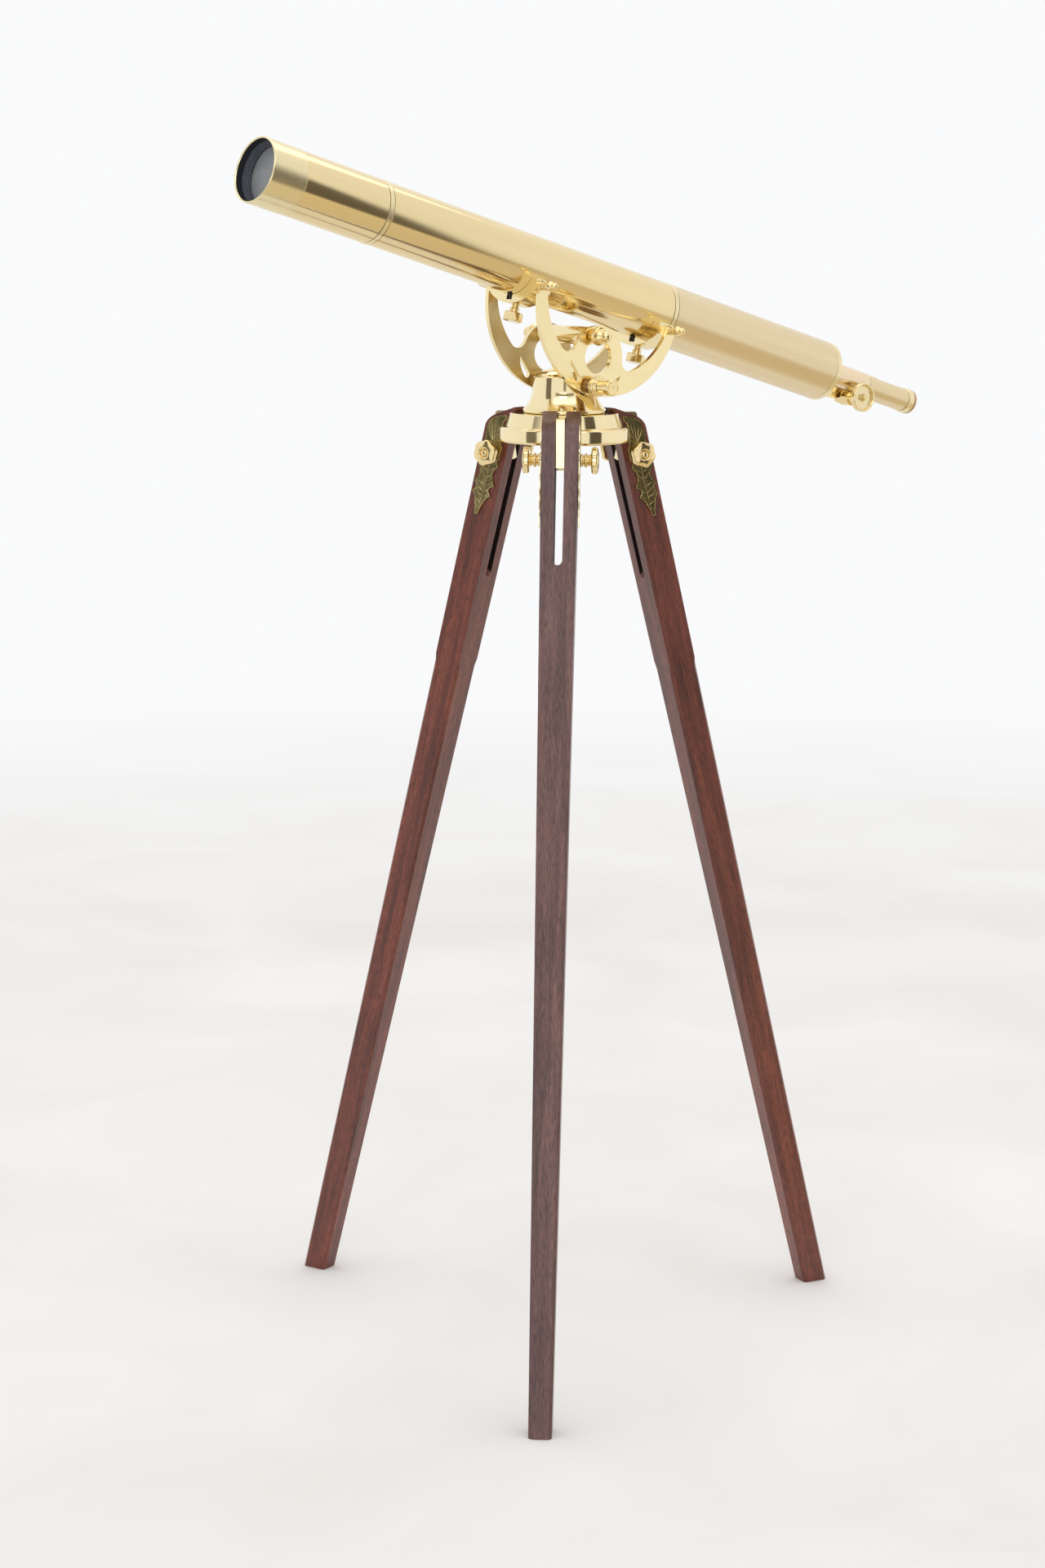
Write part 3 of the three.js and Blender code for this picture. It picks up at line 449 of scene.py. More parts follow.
def add(name, shape, place, body, slot, material, stands_for=(), bevel=0.0, rim=None, sharp=38, settled=False):
    """Makes a piece in its place; rim is a second material for faces that don't face along Y.

    A settled piece has its place in its vertices.
    """
    mesh = outward_mesh(name, shape, MM)
    mesh.materials.append(material)
    mesh.shade_smooth()
    if rim:
        mesh.materials.append(rim)
        for face in mesh.polygons:
            face.material_index = 0 if abs(face.normal.y) > 0.9 else 1
    if settled:
        mesh.transform(place)
    piece = put(name, mesh, Matrix() if settled else place)
    if bevel:
        edge = piece.modifiers.new("edges", "BEVEL")
        edge.width = bevel * MM
        edge.segments = 3
        edge.limit_method = "ANGLE"
        edge.angle_limit = math.radians(sharp)
        edge.material = 1 if rim else -1
    else:
        mesh.set_sharp_from_angle(angle=math.radians(sharp))
    normals = piece.modifiers.new("normals", "WEIGHTED_NORMAL")
    normals.keep_sharp = True
    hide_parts(*stands_for)
    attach(piece, body)
    return piece


# ---------------- hub and turret

FLANGE_HEIGHT = 21
FLANGE_RADIUS = 87
TIER_BASE_RADIUS, TIER_TOP_RADIUS = 79, 73
NOTCH_FLOOR = 60.4
NOTCH_HALF = 26.2
PIVOT_RADIUS, PIVOT_DROP = 97, 17
BOLT_HOLE = 4.3


def make_hub():
    profile = [
        (HUB_HEIGHT, 8.5), (HUB_HEIGHT, TIER_TOP_RADIUS - 0.6), (HUB_HEIGHT - 0.8, TIER_TOP_RADIUS),
        (FLANGE_HEIGHT, TIER_BASE_RADIUS), (FLANGE_HEIGHT, FLANGE_RADIUS - 3.4),
        (FLANGE_HEIGHT - 0.9, FLANGE_RADIUS - 1.2), (FLANGE_HEIGHT - 3, FLANGE_RADIUS), (3.4, FLANGE_RADIUS),
        (0.9, FLANGE_RADIUS - 1), (0, FLANGE_RADIUS - 3), (0, 51), (26, 51), (26, 8.5),
    ]
    disc = turned("z", profile, True, 180, 1.0)
    notch = block(NOTCH_FLOOR, 120, -NOTCH_HALF, NOTCH_HALF, -6, HUB_HEIGHT + 6)
    notches = joined(*(moved(notch, turn=leg_azimuth(name)) for name in LEGS))
    disc = boolean(disc, notches)
    add("hub_disc", disc, HUB, "tripod_head", "hub_brass", HUB_BRASS, ["tripod_hub"], 0.5)
    outline = [
        (49, 20), (49, 1), (75, 1), (79, -10), *arc(87, -22, 8, 200, 270, 6), *arc(104, -26, 4, 270, 360, 6),
        *arc(103, 33, 5, 0, 90, 6), (49, 38),
    ]
    hole = arc(PIVOT_RADIUS, -PIVOT_DROP, BOLT_HOLE, 0, 345, 23)
    for name in LEGS:
        fin = moved(plate(outline, -5.6, 5.6, [hole]), turn=leg_azimuth(name))
        add(f"hub_fin_{name}", fin, HUB, "tripod_head", "hub_brass", FIN_BRASS, ["tripod_hub"], 1.1)


def make_turret():
    profile = [
        (61.4, 0), (61.1, 6), (60.1, 13), (58, 22), (55.2, 31), (51.8, 36.6), (49.2, 38.8), (48.5, 39.6),
        (48.3, 40.9), (47.4, 41.6), (45.6, 41.7), (34, 42.6), (26, 43.7), (20, 45.3), (15, 47.4), (11, 49.8),
        (7.6, 52.6), (5, 55), (3.6, 56.1), (1.6, 56.4), (0, 55.4), (0, 36), (20, 31), (20, 7.3), (26.5, 7.3),
        (26.5, 0),
    ]
    bell = turned("z", profile, False, 160, 0.8)
    add("bell_casting", bell, TURRET, "turret", "hub_brass", HUB_BRASS, ["bell_turret"])
    boss_z = (Vector(TILT["pos_m"]).z - TURRET_Z_M) / MM
    boss = [(-44.4, 6.4), (-44.4, 10.4), (-43.8, 11), (43.8, 11), (44.4, 10.4), (44.4, 6.4)]
    shape = moved(turned("y", boss, True, 64), (0, 0, boss_z))
    add("axle_boss", shape, TURRET, "turret", "hub_brass", HUB_BRASS, ["bell_turret"])
    head = [
        (10, 0), (10, 10), (12, 15), (22, 15), (24, 13), (24, 19), (25.7, 19), (25.7, 8.2), (39, 8.2),
        (39, 7), (65.3, 7), (65.3, 0),
    ]
    add("azimuth_shoulder_bolt", turned("z", head), HUB, "turret", "satin_brass", GOLD_BRASS, ["azimuth_bolt"])


# ---------------- cradle

RING_Z, RING_RADIUS, RING_HOLE = 39.5, 41.3, 22.5
OUTER_Z, OUTER_RADIUS = 110, 121
INNER_Z, INNER_RADIUS = 126.6, 110
VALLEY = 14
HORN_X, HORN_Z, HORN_RADIUS = 114.3, 105, 6.7
PLATE_INNER, PLATE_OUTER = 50.4, 57.0
TIE_X, TIE_Z = -15, 63.8
SADDLE_X = 110
AXLE_HOLE = 6.3
SIDES = (("near", -1), ("far", 1))
ENDS = (("front", -1), ("rear", 1))


def teardrop(mirror):
    """The window beside the ring, pointed above and round below."""

    def polar(radius, degrees):
        angle = math.radians(degrees)
        return mirror * radius * math.cos(angle), RING_Z + radius * math.sin(angle)

    cx, cz = polar(44.3, 233)
    lower = [(mirror * x, z) for x, z in arc(mirror * cx, cz, 4.6, 233, 413, 10)]
    tip = polar(46.5, 199)
    outer = curve(tip, polar(51, 212), lower[0], 8)
    inner = curve(lower[-1], polar(41.6, 214), tip, 8)
    return outer + lower[:-1] + inner


def crescent():
    ring_reach = RING_RADIUS + VALLEY
    inner_reach = INNER_RADIUS - VALLEY
    total = ring_reach**2 - inner_reach**2 + INNER_Z**2 - RING_Z**2
    valley_z = total / (2 * (INNER_Z - RING_Z))
    valley_x = math.sqrt(ring_reach**2 - (valley_z - RING_Z) ** 2)
    to_inner = math.degrees(math.atan2(valley_z - INNER_Z, valley_x))
    to_ring = math.degrees(math.atan2(valley_z - RING_Z, valley_x))
    horn_inner = math.degrees(math.atan2(HORN_Z - 1 - INNER_Z, HORN_X - HORN_RADIUS))
    horn_outer = math.degrees(math.atan2(HORN_Z - OUTER_Z, HORN_X + HORN_RADIUS))
    outline = arc(0, INNER_Z, INNER_RADIUS, horn_inner, to_inner, 16)
    outline += arc(valley_x, valley_z, VALLEY, to_inner, to_ring - 180, 14)[1:]
    outline += arc(0, RING_Z, RING_RADIUS, to_ring, 180 - to_ring, 36)[1:]
    outline += arc(-valley_x, valley_z, VALLEY, -to_ring, -180 - to_inner, 14)[1:]
    outline += arc(0, INNER_Z, INNER_RADIUS, 180 - to_inner, 180 - horn_inner, 16)[1:]
    outline += arc(-HORN_X, HORN_Z, HORN_RADIUS, 0, 180, 12)[1:]
    outline += arc(0, OUTER_Z, OUTER_RADIUS, 180 - horn_outer, 360 + horn_outer, 72)[1:]
    outline += arc(HORN_X, HORN_Z, HORN_RADIUS, 0, 180, 12)[1:-1]
    window = arc(0, RING_Z, RING_HOLE, 0, 354, 59)
    return outline, [window, teardrop(1), teardrop(-1)]


def acorn(reach):
    """A turned nut: foot, wide flange, dome, waist and button."""
    return from_base(reach, [
        (0, 0), (0, 5.4), (4.6, 5.4), (5.4, 9.4), (8.6, 12.2), (12.6, 12.2), (14.4, 11.3), (18.4, 10.2),
        (21, 7.4), (22, 6), (23, 7.2), (26.4, 7.2), (29, 6), (31, 3.6), (31.9, 0),
    ])


def horn_screw(reach):
    shank = [(PLATE_INNER - 6, 0), (PLATE_INNER - 6, 2.6)]
    return shank + from_base(reach, [
        (0, 2.6), (0, 6), (2.2, 6), (3, 3.8), (5.4, 3.8), (6.6, 5.6), (9.5, 6.2), (13, 6.2), (15.4, 5.2),
        (17, 3.5), (18.6, 3.5), (20, 4.5), (22.4, 4.2), (24.4, 2.2), (25, 0),
    ])


def mirrored(profile, side):
    return [(along * side, radius) for along, radius in profile]


def make_plates():
    outline, windows = crescent()
    reach = PLATE_OUTER + GAP
    for name, side in SIDES:
        low, high = sorted((side * PLATE_INNER, side * PLATE_OUTER))
        shape = plate(outline, low, high, windows)
        made = add(f"crescent_{name}", shape, CRADLE, "cradle", "satin_brass", SATIN_BRASS,
                   [f"crescent_plate_{name}"], 0.7, RIM_BRASS)
        made.data.materials.append(INNER_BRASS)
        for face in made.data.polygons:
            if face.normal.y * side < -0.9:
                face.material_index = 2
        nut = turned("y", mirrored(acorn(reach), side))
        if side < 0:
            nut = joined(nut, rod("y", 3, -reach, reach + 9, 0.2, 24))
        nut = moved(nut, (TIE_X, 0, TIE_Z))
        add(f"tie_nut_{name}", nut, CRADLE, "cradle", *GOLD, [f"acorn_knob_{name}"])
        for end, along in ENDS:
            screw = moved(turned("y", mirrored(horn_screw(reach), side)), (along * HORN_X, 0, HORN_Z))
            add(f"saddle_screw_{end}_{name}", screw, CRADLE, "cradle", *GOLD, [f"horn_screw_{end}_{name}"])
    sleeve = moved(ring("y", 3.5, 12, -50.1, 50.1), (TIE_X, 0, TIE_Z))
    add("tie_sleeve", sleeve, CRADLE, "cradle", "polished_brass", HUB_BRASS, ["spacer_sleeve"])


def make_axle():
    head = [(0, 6), (0, 12), (1.5, 12.5), (3.4, 12.2), (5.6, 9.8), (7, 6), (7.5, 0)]
    profile = [(-93, 0), (-93, 6)] + from_base(PLATE_OUTER + GAP, head)
    add("axle", turned("y", profile), CRADLE, "cradle", *GOLD, ["altitude_axle"])
    for name, side in SIDES:
        for part, outer, start, end, finish in (
            ("washer", 11.4, 44.8, 46.6, ("rubber_pad", RUBBER)), ("spacer", 12, 46.9, 50.1, GOLD),
        ):
            low, high = sorted((side * start, side * end))
            add(f"axle_{part}_{name}", ring("y", AXLE_HOLE, outer, low, high), CRADLE, "cradle", *finish,
                [f"altitude_{part}_{name}"])
    stack = [
        (-65.2, AXLE_HOLE), (-65.2, 9.4), (-63.2, 9.8), (-62.4, 8.6), (-61.4, 9.8), (-59.6, 9.8), (-58.8, 8.6),
        (-57.3, 9.8), (-57.3, AXLE_HOLE),
    ]
    add("clamp_washer_stack", turned("y", stack, True), CRADLE, "cradle", "blackened_metal", WASHER_BRONZE,
        ["clamp_washer"])


def make_clamp_knob():
    base = -65.5
    profile = from_base(base, [
        (0, AXLE_HOLE), (0, 13.1), (-1.4, 13.4), (-3.4, 13.4), (-4.8, 12.8), (-5.6, 11.2), (-6.8, 11.2),
        (-7.6, 12.4), (-9.4, 12.6), (-11, 9.5), (-25, 9.5), (-25.8, 10.6), (-34.4, 10.8), (-36, 9.8),
        (-36, 1.6), (-35, 0), (-30, 0), (-30, AXLE_HOLE),
    ])
    knob = turned("y", profile, True, 96)
    slot_arcs = []
    for start in (-50, 130):
        outline = arc(0, 0, 8.4, start, start + 80, 12) + arc(0, 0, 7.0, start + 80, start, 12)
        slot_arcs.append(plate(outline, base - 40, base - 34.6))
    knob = boolean(knob, joined(*slot_arcs))
    add("clamp_knob_body", knob, CRADLE, "clamp_knob", *GOLD, ["clamp_knob"])


def saddle_shape():
    """The saddle's section in Y and Z, drawn as X and Z and turned to face along the tube."""
    bottom, ear_z, end, bore, pocket, sag = 78.5, 113, PLATE_INNER - GAP, 42.35, 5.6, 18.5
    radius = (end**2 + sag**2) / (2 * sag)
    half = math.degrees(math.asin(end / radius))
    ear = math.degrees(math.asin((TUBE_RISE - ear_z) / bore))
    edge = math.degrees(math.acos(pocket / bore))
    outline = arc(0, bottom + radius, radius, -90 - half, -90 + half, 32)
    outline += [(end, ear_z)]
    outline += arc(0, TUBE_RISE, bore, -ear, -edge, 24)
    outline += [(pocket, bottom + 4.7), (-pocket, bottom + 4.7)]
    outline += arc(0, TUBE_RISE, bore, -180 + edge, -180 + ear, 24)
    outline += [(-end, ear_z)]
    body = moved(plate(outline, -13, 13), turn=math.pi / 2)
    return boolean(body, rod("z", 4.8, 60, 100, 0))


def thumbscrew():
    flats = 10
    half = math.pi / flats

    def radius_at(radius, angle):
        swing = (angle + half) % (2 * half) - half
        return radius / math.cos(swing) * math.cos(half) if radius > 10 else radius

    profile = [
        (57, 0), (57, 8.4), (57.8, 9.2), (57, 10), (57, 11.9), (57.9, 12.9), (67.6, 12.9), (68.5, 11.9),
        (68.6, 7.2), (69.2, 6.6), (70.4, 6.6), (71, 5.6), (72, 5.4), (72.6, 6.4), (74.4, 6.4), (75, 4.9),
        (77.4, 4.4), (84.2, 4.4), (84.2, 0),
    ]
    return turned("z", profile, False, 96, 0.25, radius_at)


def make_saddles():
    shape = saddle_shape()
    screw = thumbscrew()
    for end, along in ENDS:
        place = CRADLE @ Matrix.Translation((along * SADDLE_X * MM, 0, 0))
        add(f"saddle_block_{end}", shape, place, "cradle", "gold_brass", RIM_BRASS, [f"saddle_{end}"], 0.8)
        pad = block(-11.5, 11.5, -5.2, 5.2, 84.6, 89.8)
        add(f"saddle_rubber_{end}", pad, place, "cradle", "rubber_pad", RUBBER, [f"saddle_pad_{end}"], 0.6)
        add(f"thumbscrew_body_{end}", screw, place, f"thumbscrew_{end}", *GOLD, [f"thumbscrew_{end}"], sharp=20)


# ---------------- optical tube

TUBE_RADIUS, TUBE_BORE, BAND_RADIUS = 42.0, 40.4, 42.3
OBJECTIVE_FRONT, OBJECTIVE_BACK = -550.7, -498.7
FRONT_BAND = (-369.2, -361.7)
MIDDLE_BAND = (125, 132.5)
CAP_START, CAP_END = 443.5, 452.2
COLLAR_RADIUS, COLLAR_END = 18.4, 537
DRAW_RADIUS, DRAW_START, DRAW_END = 16.5, 395, 620
EYE_END = 636.7


def make_barrels():
    for name, start, end, material, slot in (
        ("front_tube", OBJECTIVE_BACK + GAP, FRONT_BAND[0] - GAP, TUBE_BRASS, "polished_brass"),
        ("main_tube", FRONT_BAND[1] + GAP, MIDDLE_BAND[0] - GAP, TUBE_BRASS, "polished_brass"),
        ("rear_tube", MIDDLE_BAND[1] + GAP, CAP_START - GAP, REAR_BRASS, "satin_brass"),
    ):
        shape = ring("x", TUBE_BORE, TUBE_RADIUS, start, end, 0.35, 192)
        add(f"{name}_shell", shape, TUBE, "cradle", slot, material, [name])
    for name, (start, end) in (("front_joint_ring", FRONT_BAND), ("middle_joint_ring", MIDDLE_BAND)):
        profile = [
            (start - 12, 38), (start - 12, 39.9), (start + 0.4, 39.9), (start + 0.7, BAND_RADIUS),
            (end - 0.7, BAND_RADIUS), (end - 0.4, 39.9), (end + 12, 39.9), (end + 12, 38),
        ]
        add(f"{name}_band", turned("x", profile, True, 192, 0.5), TUBE, "cradle", *BRUSHED, [name])
    cap = [
        (431, 37.7), (431, 40), (CAP_START, 40), (CAP_START, BAND_RADIUS), (CAP_END - 1.6, BAND_RADIUS),
        (CAP_END, 40.8), (CAP_END - 0.5, 38.6), (CAP_END - 0.5, 24), (CAP_END, 22.6), (CAP_END, 18.8),
        (447, 18.8), (447, 37.7),
    ]
    add("end_cap_plate", turned("x", cap, True, 192, 0.7), TUBE, "cradle", *BRUSHED, ["end_cap"])


def lens(front, back, rim_radius):
    """A lens between two surfaces, each (vertex, rim) along the tube."""
    steps = 10

    def surface(vertex, rim):
        return [(vertex + (rim - vertex) * (k / steps) ** 2, rim_radius * k / steps) for k in range(steps + 1)]

    return turned("x", surface(*front) + surface(*back)[::-1], False, 96, 0.0)


def make_objective():
    front, back = OBJECTIVE_FRONT, OBJECTIVE_BACK
    hood = [
        (front + 1.2, 39.6), (front + 0.2, 40.3), (front, 41), (front + 0.4, 41.8), (front + 1.4, BAND_RADIUS),
        (back, BAND_RADIUS), (back, 39.7), (back + 12, 39.7), (back + 12, 37.9), (back - 4, 37.9),
        (back - 4, 39.6),
    ]
    add("objective_hood", turned("x", hood, True, 192, 0.3), TUBE, "cradle", *BRUSHED, ["objective_ring"])
    cell = [
        (-541, 39.3), (-541, 38.6), (-538.6, 38.4), (-538.3, 37.8), (-536.4, 37.7), (-536.1, 37.1),
        (-534.2, 37), (-533.9, 36.4), (-532.3, 36.3), (-532, 35.8), (-529.3, 35.8), (-529.3, 38.1),
        (-505, 38.1), (-505, 39.3),
    ]
    add("lens_cell", turned("x", cell, True, 144, 0.2), TUBE, "cradle", "blackened_metal", CELL_ENAMEL,
        ["objective_cell"])
    hood_lining = ring("x", 39.1, 39.5, front + 1.4, -541.3, 0.1, 144)
    add("hood_lining", hood_lining, TUBE, "cradle", "blackened_metal", BLACKENED)
    add("crown_lens", lens((-531, -528.6), (-520.2, -522.6), 37.8), TUBE, "cradle", *LENS,
        ["objective_crown_lens"])
    add("flint_lens", lens((-519.9, -522.3), (-512, -512), 37.8), TUBE, "cradle", *LENS,
        ["objective_flint_lens"])
    add("cell_retainer", ring("x", 34.5, 37.8, -511.7, -506), TUBE, "cradle", "blackened_metal", BLACKENED,
        ["lens_retaining_ring"])


def make_focuser():
    collar = [
        (440, 16.9), (440, 22), (446.6, 22), (446.6, COLLAR_RADIUS), (COLLAR_END - 2, COLLAR_RADIUS),
        (COLLAR_END, COLLAR_RADIUS - 1), (COLLAR_END, 16.9),
    ]
    window = block(PINION_X - 8.5, PINION_X + 8.5, -5.2, 5.2, -25, -10)
    shape = boolean(turned("x", collar, True, 96, 0.6), window)
    add("collar_sleeve", shape, TUBE, "cradle", "rose_brass", ROSE_BRASS, ["focus_collar"])
    gland = ring("x", 16.9, 17.7, COLLAR_END + GAP, 556, 0.3)
    add("gland_sleeve", gland, TUBE, "cradle", "satin_brass", REAR_BRASS, ["gland_ring"])
    make_pinion_housing()
    make_focus_wheel()
    make_drawtube()


def make_pinion_housing():
    outline = [
        (CAP_END + GAP, -17), (CAP_END + GAP, -33), (470, -33), *curve((470, -33), (482, -33), (492, -27), 8),
        *curve((492, -27), (500, -22.6), (505, -27.5), 6), *arc(PINION_X, PINION_Z - 1.5, 11.5, 210, 330, 14),
        (529, -20), (529, -13), (CAP_END + GAP, -13),
    ]
    body = plate(outline, -9.5, 9.5)
    barrel = moved(rod("y", 9.2, -20, 20, 0.8), (PINION_X, 0, PINION_Z - 1.5))
    body = boolean(body, barrel, "UNION")
    for tool in (
        rod("x", COLLAR_RADIUS + 2 * GAP, 400, 600, 0),
        moved(rod("y", 7.6, -5.2, 5.2, 0), (PINION_X, 0, PINION_Z)),
        block(PINION_X - 7.6, PINION_X + 7.6, -5.2, 5.2, PINION_Z, 0),
        moved(rod("y", 2.8, -40, 40, 0), (PINION_X, 0, PINION_Z)),
    ):
        body = boolean(body, tool)
    add("pinion_bracket", body, TUBE, "cradle", *GOLD, ["pinion_housing"], 0.6)


def make_focus_wheel():
    axle = [
        (-36.4, 0), (-36.4, 1.4), (-35.8, 1.4), (-35.8, 2.4), (-36.3, 2.8), (-35.6, 3.8), (-34.2, 3.8),
        (-34.2, 2.5), (20.6, 2.5), (20.6, 4.6), (23, 4.6), (24.2, 3.2), (24.4, 0),
    ]
    shaft = moved(turned("y", axle, False, 64, 0.2), (PINION_X, 0, PINION_Z))
    add("pinion_axle", shaft, TUBE, "pinion", *GOLD, ["pinion_shaft"])
    wheel = [
        (-25.4, 2.8), (-25.4, 7), (-27.2, 8), (-27.4, 17.4), (-25.8, 18.6), (-25.6, 19.4), (-26.4, 20.5),
        (-28.6, 20.5), (-28.9, 20.1), (-29.2, 20.5), (-32.6, 20.5), (-33.5, 19.8), (-33.7, 18.4),
        (-32.4, 17.5), (-29.6, 16.8), (-29.2, 15.6), (-29.2, 6.4), (-29.8, 5.2), (-33.9, 4.4), (-33.9, 2.8),
    ]
    shape = moved(turned("y", wheel, True, 128, 0.35), (PINION_X, 0, PINION_Z))
    add("focus_wheel_disc", shape, TUBE, "pinion", "gold_brass", WHEEL_BRASS, ["focus_wheel"])
    teeth = 12
    section = []
    for i in range(teeth):
        middle = math.pi / 2 + (i + 0.5) / teeth * TAU
        for offset, radius in ((-0.75, 4.85), (-0.34, 6.6), (0.34, 6.6), (0.75, 4.85)):
            angle = middle + offset / radius
            section.append((PINION_X + radius * math.cos(angle), PINION_Z + radius * math.sin(angle)))
    add("pinion_teeth", plate(section, -4.4, 4.4), TUBE, "pinion", *GOLD, ["pinion_shaft"], 0.1)


def make_drawtube():
    tooth_pitch = math.pi
    root, tip = -14.4, -16.2
    inward, outward = 14, 8
    start, end = PINION_X - (inward + 0.5) * tooth_pitch, PINION_X + (outward + 0.5) * tooth_pitch
    tube = ring("x", 15, DRAW_RADIUS, DRAW_START, DRAW_END, 0.3, 120)
    shell = boolean(tube, block(start - 2, end + 2, -5, 5, -20, -10))
    add("drawtube_shell", shell, TUBE, "drawtube", "satin_brass", REAR_BRASS, ["drawtube"], sharp=30)
    outline = [(start, root + 2.2), (start, root)]
    for i in range(-inward, outward + 1):
        middle = PINION_X + i * tooth_pitch
        outline += [(middle - 0.8, root), (middle - 0.35, tip), (middle + 0.35, tip), (middle + 0.8, root)]
    outline += [(end, root), (end, root + 2.2)]
    add("rack", plate(outline, -4.1, 4.1), TUBE, "drawtube", *GOLD, ["drawtube"], 0.1)
    erector = lens((416, 418), (424, 422), 14.7)
    add("erector_glass", erector, TUBE, "drawtube", *LENS, ["erector_lens"])
    eye = [
        (600, 12.4), (600, 14.7), (DRAW_END + GAP, 14.7), (DRAW_END + GAP, 17.3), (621.2, 17.8), (630, 17.8),
        (630.4, 17.4), (630.4, 12.4),
    ]
    add("eyepiece_band", turned("x", eye, True, 120, 0.4), TUBE, "drawtube", *BRUSHED, ["eyepiece_ring"])
    cup = [
        (630.7, 9.4), (630.7, 17.4), (631.4, 17.9), (634.4, 17.7), (636, 16.6), (EYE_END, 14.6), (635.8, 12),
        (633, 9.8), (632, 9.4),
    ]
    add("eyepiece_cup", turned("x", cup, True, 120, 0.5), TUBE, "drawtube", "satin_brass", COPPER_BRASS,
        ["eyepiece_ring"])
    add("eye_glass", lens((622, 624), (629, 627.6), 12.1), TUBE, "drawtube", *LENS, ["eye_lens"])


# ---------------- legs

LEG_TOP_WIDTH, LEG_FOOT_WIDTH = 50, 30
LEG_INNER_X, LEG_OUTER_X, LEG_NARROWING = -19.5, 23.5, 3.4
LEG_TOP_Z, SHOULDER_Z = 74, -298
PIVOT_Z = 1219
SLOT_WIDTH, SLOT_END_Z, SLOT_END_RISE = 11.9, -156.5, 33


def foot_z(x):
    """Where the floor cuts the leg, at a distance x outward."""
    return -(PIVOT_Z + x * math.sin(LEG_LEAN)) / math.cos(LEG_LEAN)


def half_width(z):
    share = (LEG_TOP_Z - z) / (LEG_TOP_Z - foot_z(0))
    return (LEG_TOP_WIDTH + (LEG_FOOT_WIDTH - LEG_TOP_WIDTH) * share) / 2


def leg_bar():
    """A bar with an eight-sided section; the corner chamfers grow at a small shoulder."""
    stations = [(LEG_TOP_Z, 0.7), (SHOULDER_Z, 0.7)]
    for k in range(1, 7):
        t = k / 6
        stations.append((SHOULDER_Z - 14 * t, 0.7 + 2.9 * math.sin(t * math.pi / 2)))
    stations.append((foot_z(0) - 20, 3.6))
    vertices, faces = [], []
    for z, chamfer in stations:
        narrowing = LEG_NARROWING * (LEG_TOP_Z - z) / (LEG_TOP_Z - foot_z(0))
        half_x, half_y = (LEG_OUTER_X - LEG_INNER_X) / 2 - narrowing, half_width(z)
        middle = (LEG_OUTER_X + LEG_INNER_X) / 2
        for sx, sy, order in ((1, 1, 0), (-1, 1, 1), (-1, -1, 0), (1, -1, 1)):
            corner = [(half_x, half_y - chamfer), (half_x - chamfer, half_y)]
            for x, y in corner[::-1] if order else corner:
                vertices.append((middle + sx * x, sy * y, z))
    for level in range(len(stations) - 1):
        for k in range(8):
            n = (k + 1) % 8
            faces.append([level * 8 + k, level * 8 + n, level * 8 + 8 + n, level * 8 + 8 + k])
    last = (len(stations) - 1) * 8
    faces += [list(range(8)), list(range(last, last + 8))]
    return vertices, faces


def leg_shape():
    outline = [
        (-40, foot_z(-40)), (50, foot_z(50)), (50, 28), (LEG_OUTER_X, 28),
        *curve((LEG_OUTER_X, 28), (LEG_OUTER_X - 0.5, 42), (8, 52), 12), (8, 52), (LEG_INNER_X + 2, 68.5),
        (-40, 68.5),
    ]
    shape = boolean(leg_bar(), plate(outline, -60, 60), "INTERSECT")
    rise = math.atan2(SLOT_END_RISE, LEG_OUTER_X - LEG_INNER_X)
    end_z = SLOT_END_Z + SLOT_WIDTH / 2
    reach = 40 * math.tan(rise)
    side = [(-40, 100), (-40, end_z - reach), (44, end_z + reach), (44, 100)]
    slot = plate(side, -SLOT_WIDTH / 2, SLOT_WIDTH / 2)
    end = moved(rod("x", SLOT_WIDTH / 2, -50, 50, 0), (2, 0, end_z), -rise, "Y")
    hole = rod("y", BOLT_HOLE, -60, 60, 0)
    for tool in (slot, end, hole):
        shape = boolean(shape, tool)
    return shape


def leaf_outline():
    """Pointed tips joined by hollow curves; each entry is (tip, hollow's middle towards the next tip)."""
    scallops = [
        ((17.5, 38.5), (8, 47.5)), ((-9, 54.5), (-9.6, 50)), ((-9.8, 48), (-5, 39)), ((-6.5, 23), (-8.6, 15)),
        ((-13, 8.5), (-12.2, -1)), ((-12.6, -8), (-9.4, -11.5)), ((-13.4, -17.2), (-8.2, -25)),
        ((-7.5, -29), (-8.2, -36.5)), ((-13.4, -45.6), (-7.2, -50)), ((-6.4, -54), (-8.2, -57)),
        ((-11.4, -59.6), (-4.5, -67)), ((-1.5, -75), (1.4, -82)), ((3.2, -90), (5.8, -90.8)),
        ((8.4, -90), (10.4, -80)), ((13.4, -71), (15.6, -65)), ((21, -60.4), (16.6, -56.6)),
        ((15.4, -52), (17.2, -48.2)), ((22, -46), (16.6, -41.5)), ((15, -36), (14.6, -30)),
        ((20.6, -21.4), (18.8, -12)), ((17.6, -4), (18.4, 5)), ((18.3, 12), (18.6, 26)),
    ]
    points = []
    for i, (tip, hollow) in enumerate(scallops):
        following = scallops[(i + 1) % len(scallops)][0]
        control = tuple(2 * h - (a + b) / 2 for h, a, b in zip(hollow, tip, following))
        points += curve(tip, control, following, 6)
    return points


GROOVE_DEPTH, GROOVE_WIDTH = 0.28, 0.27


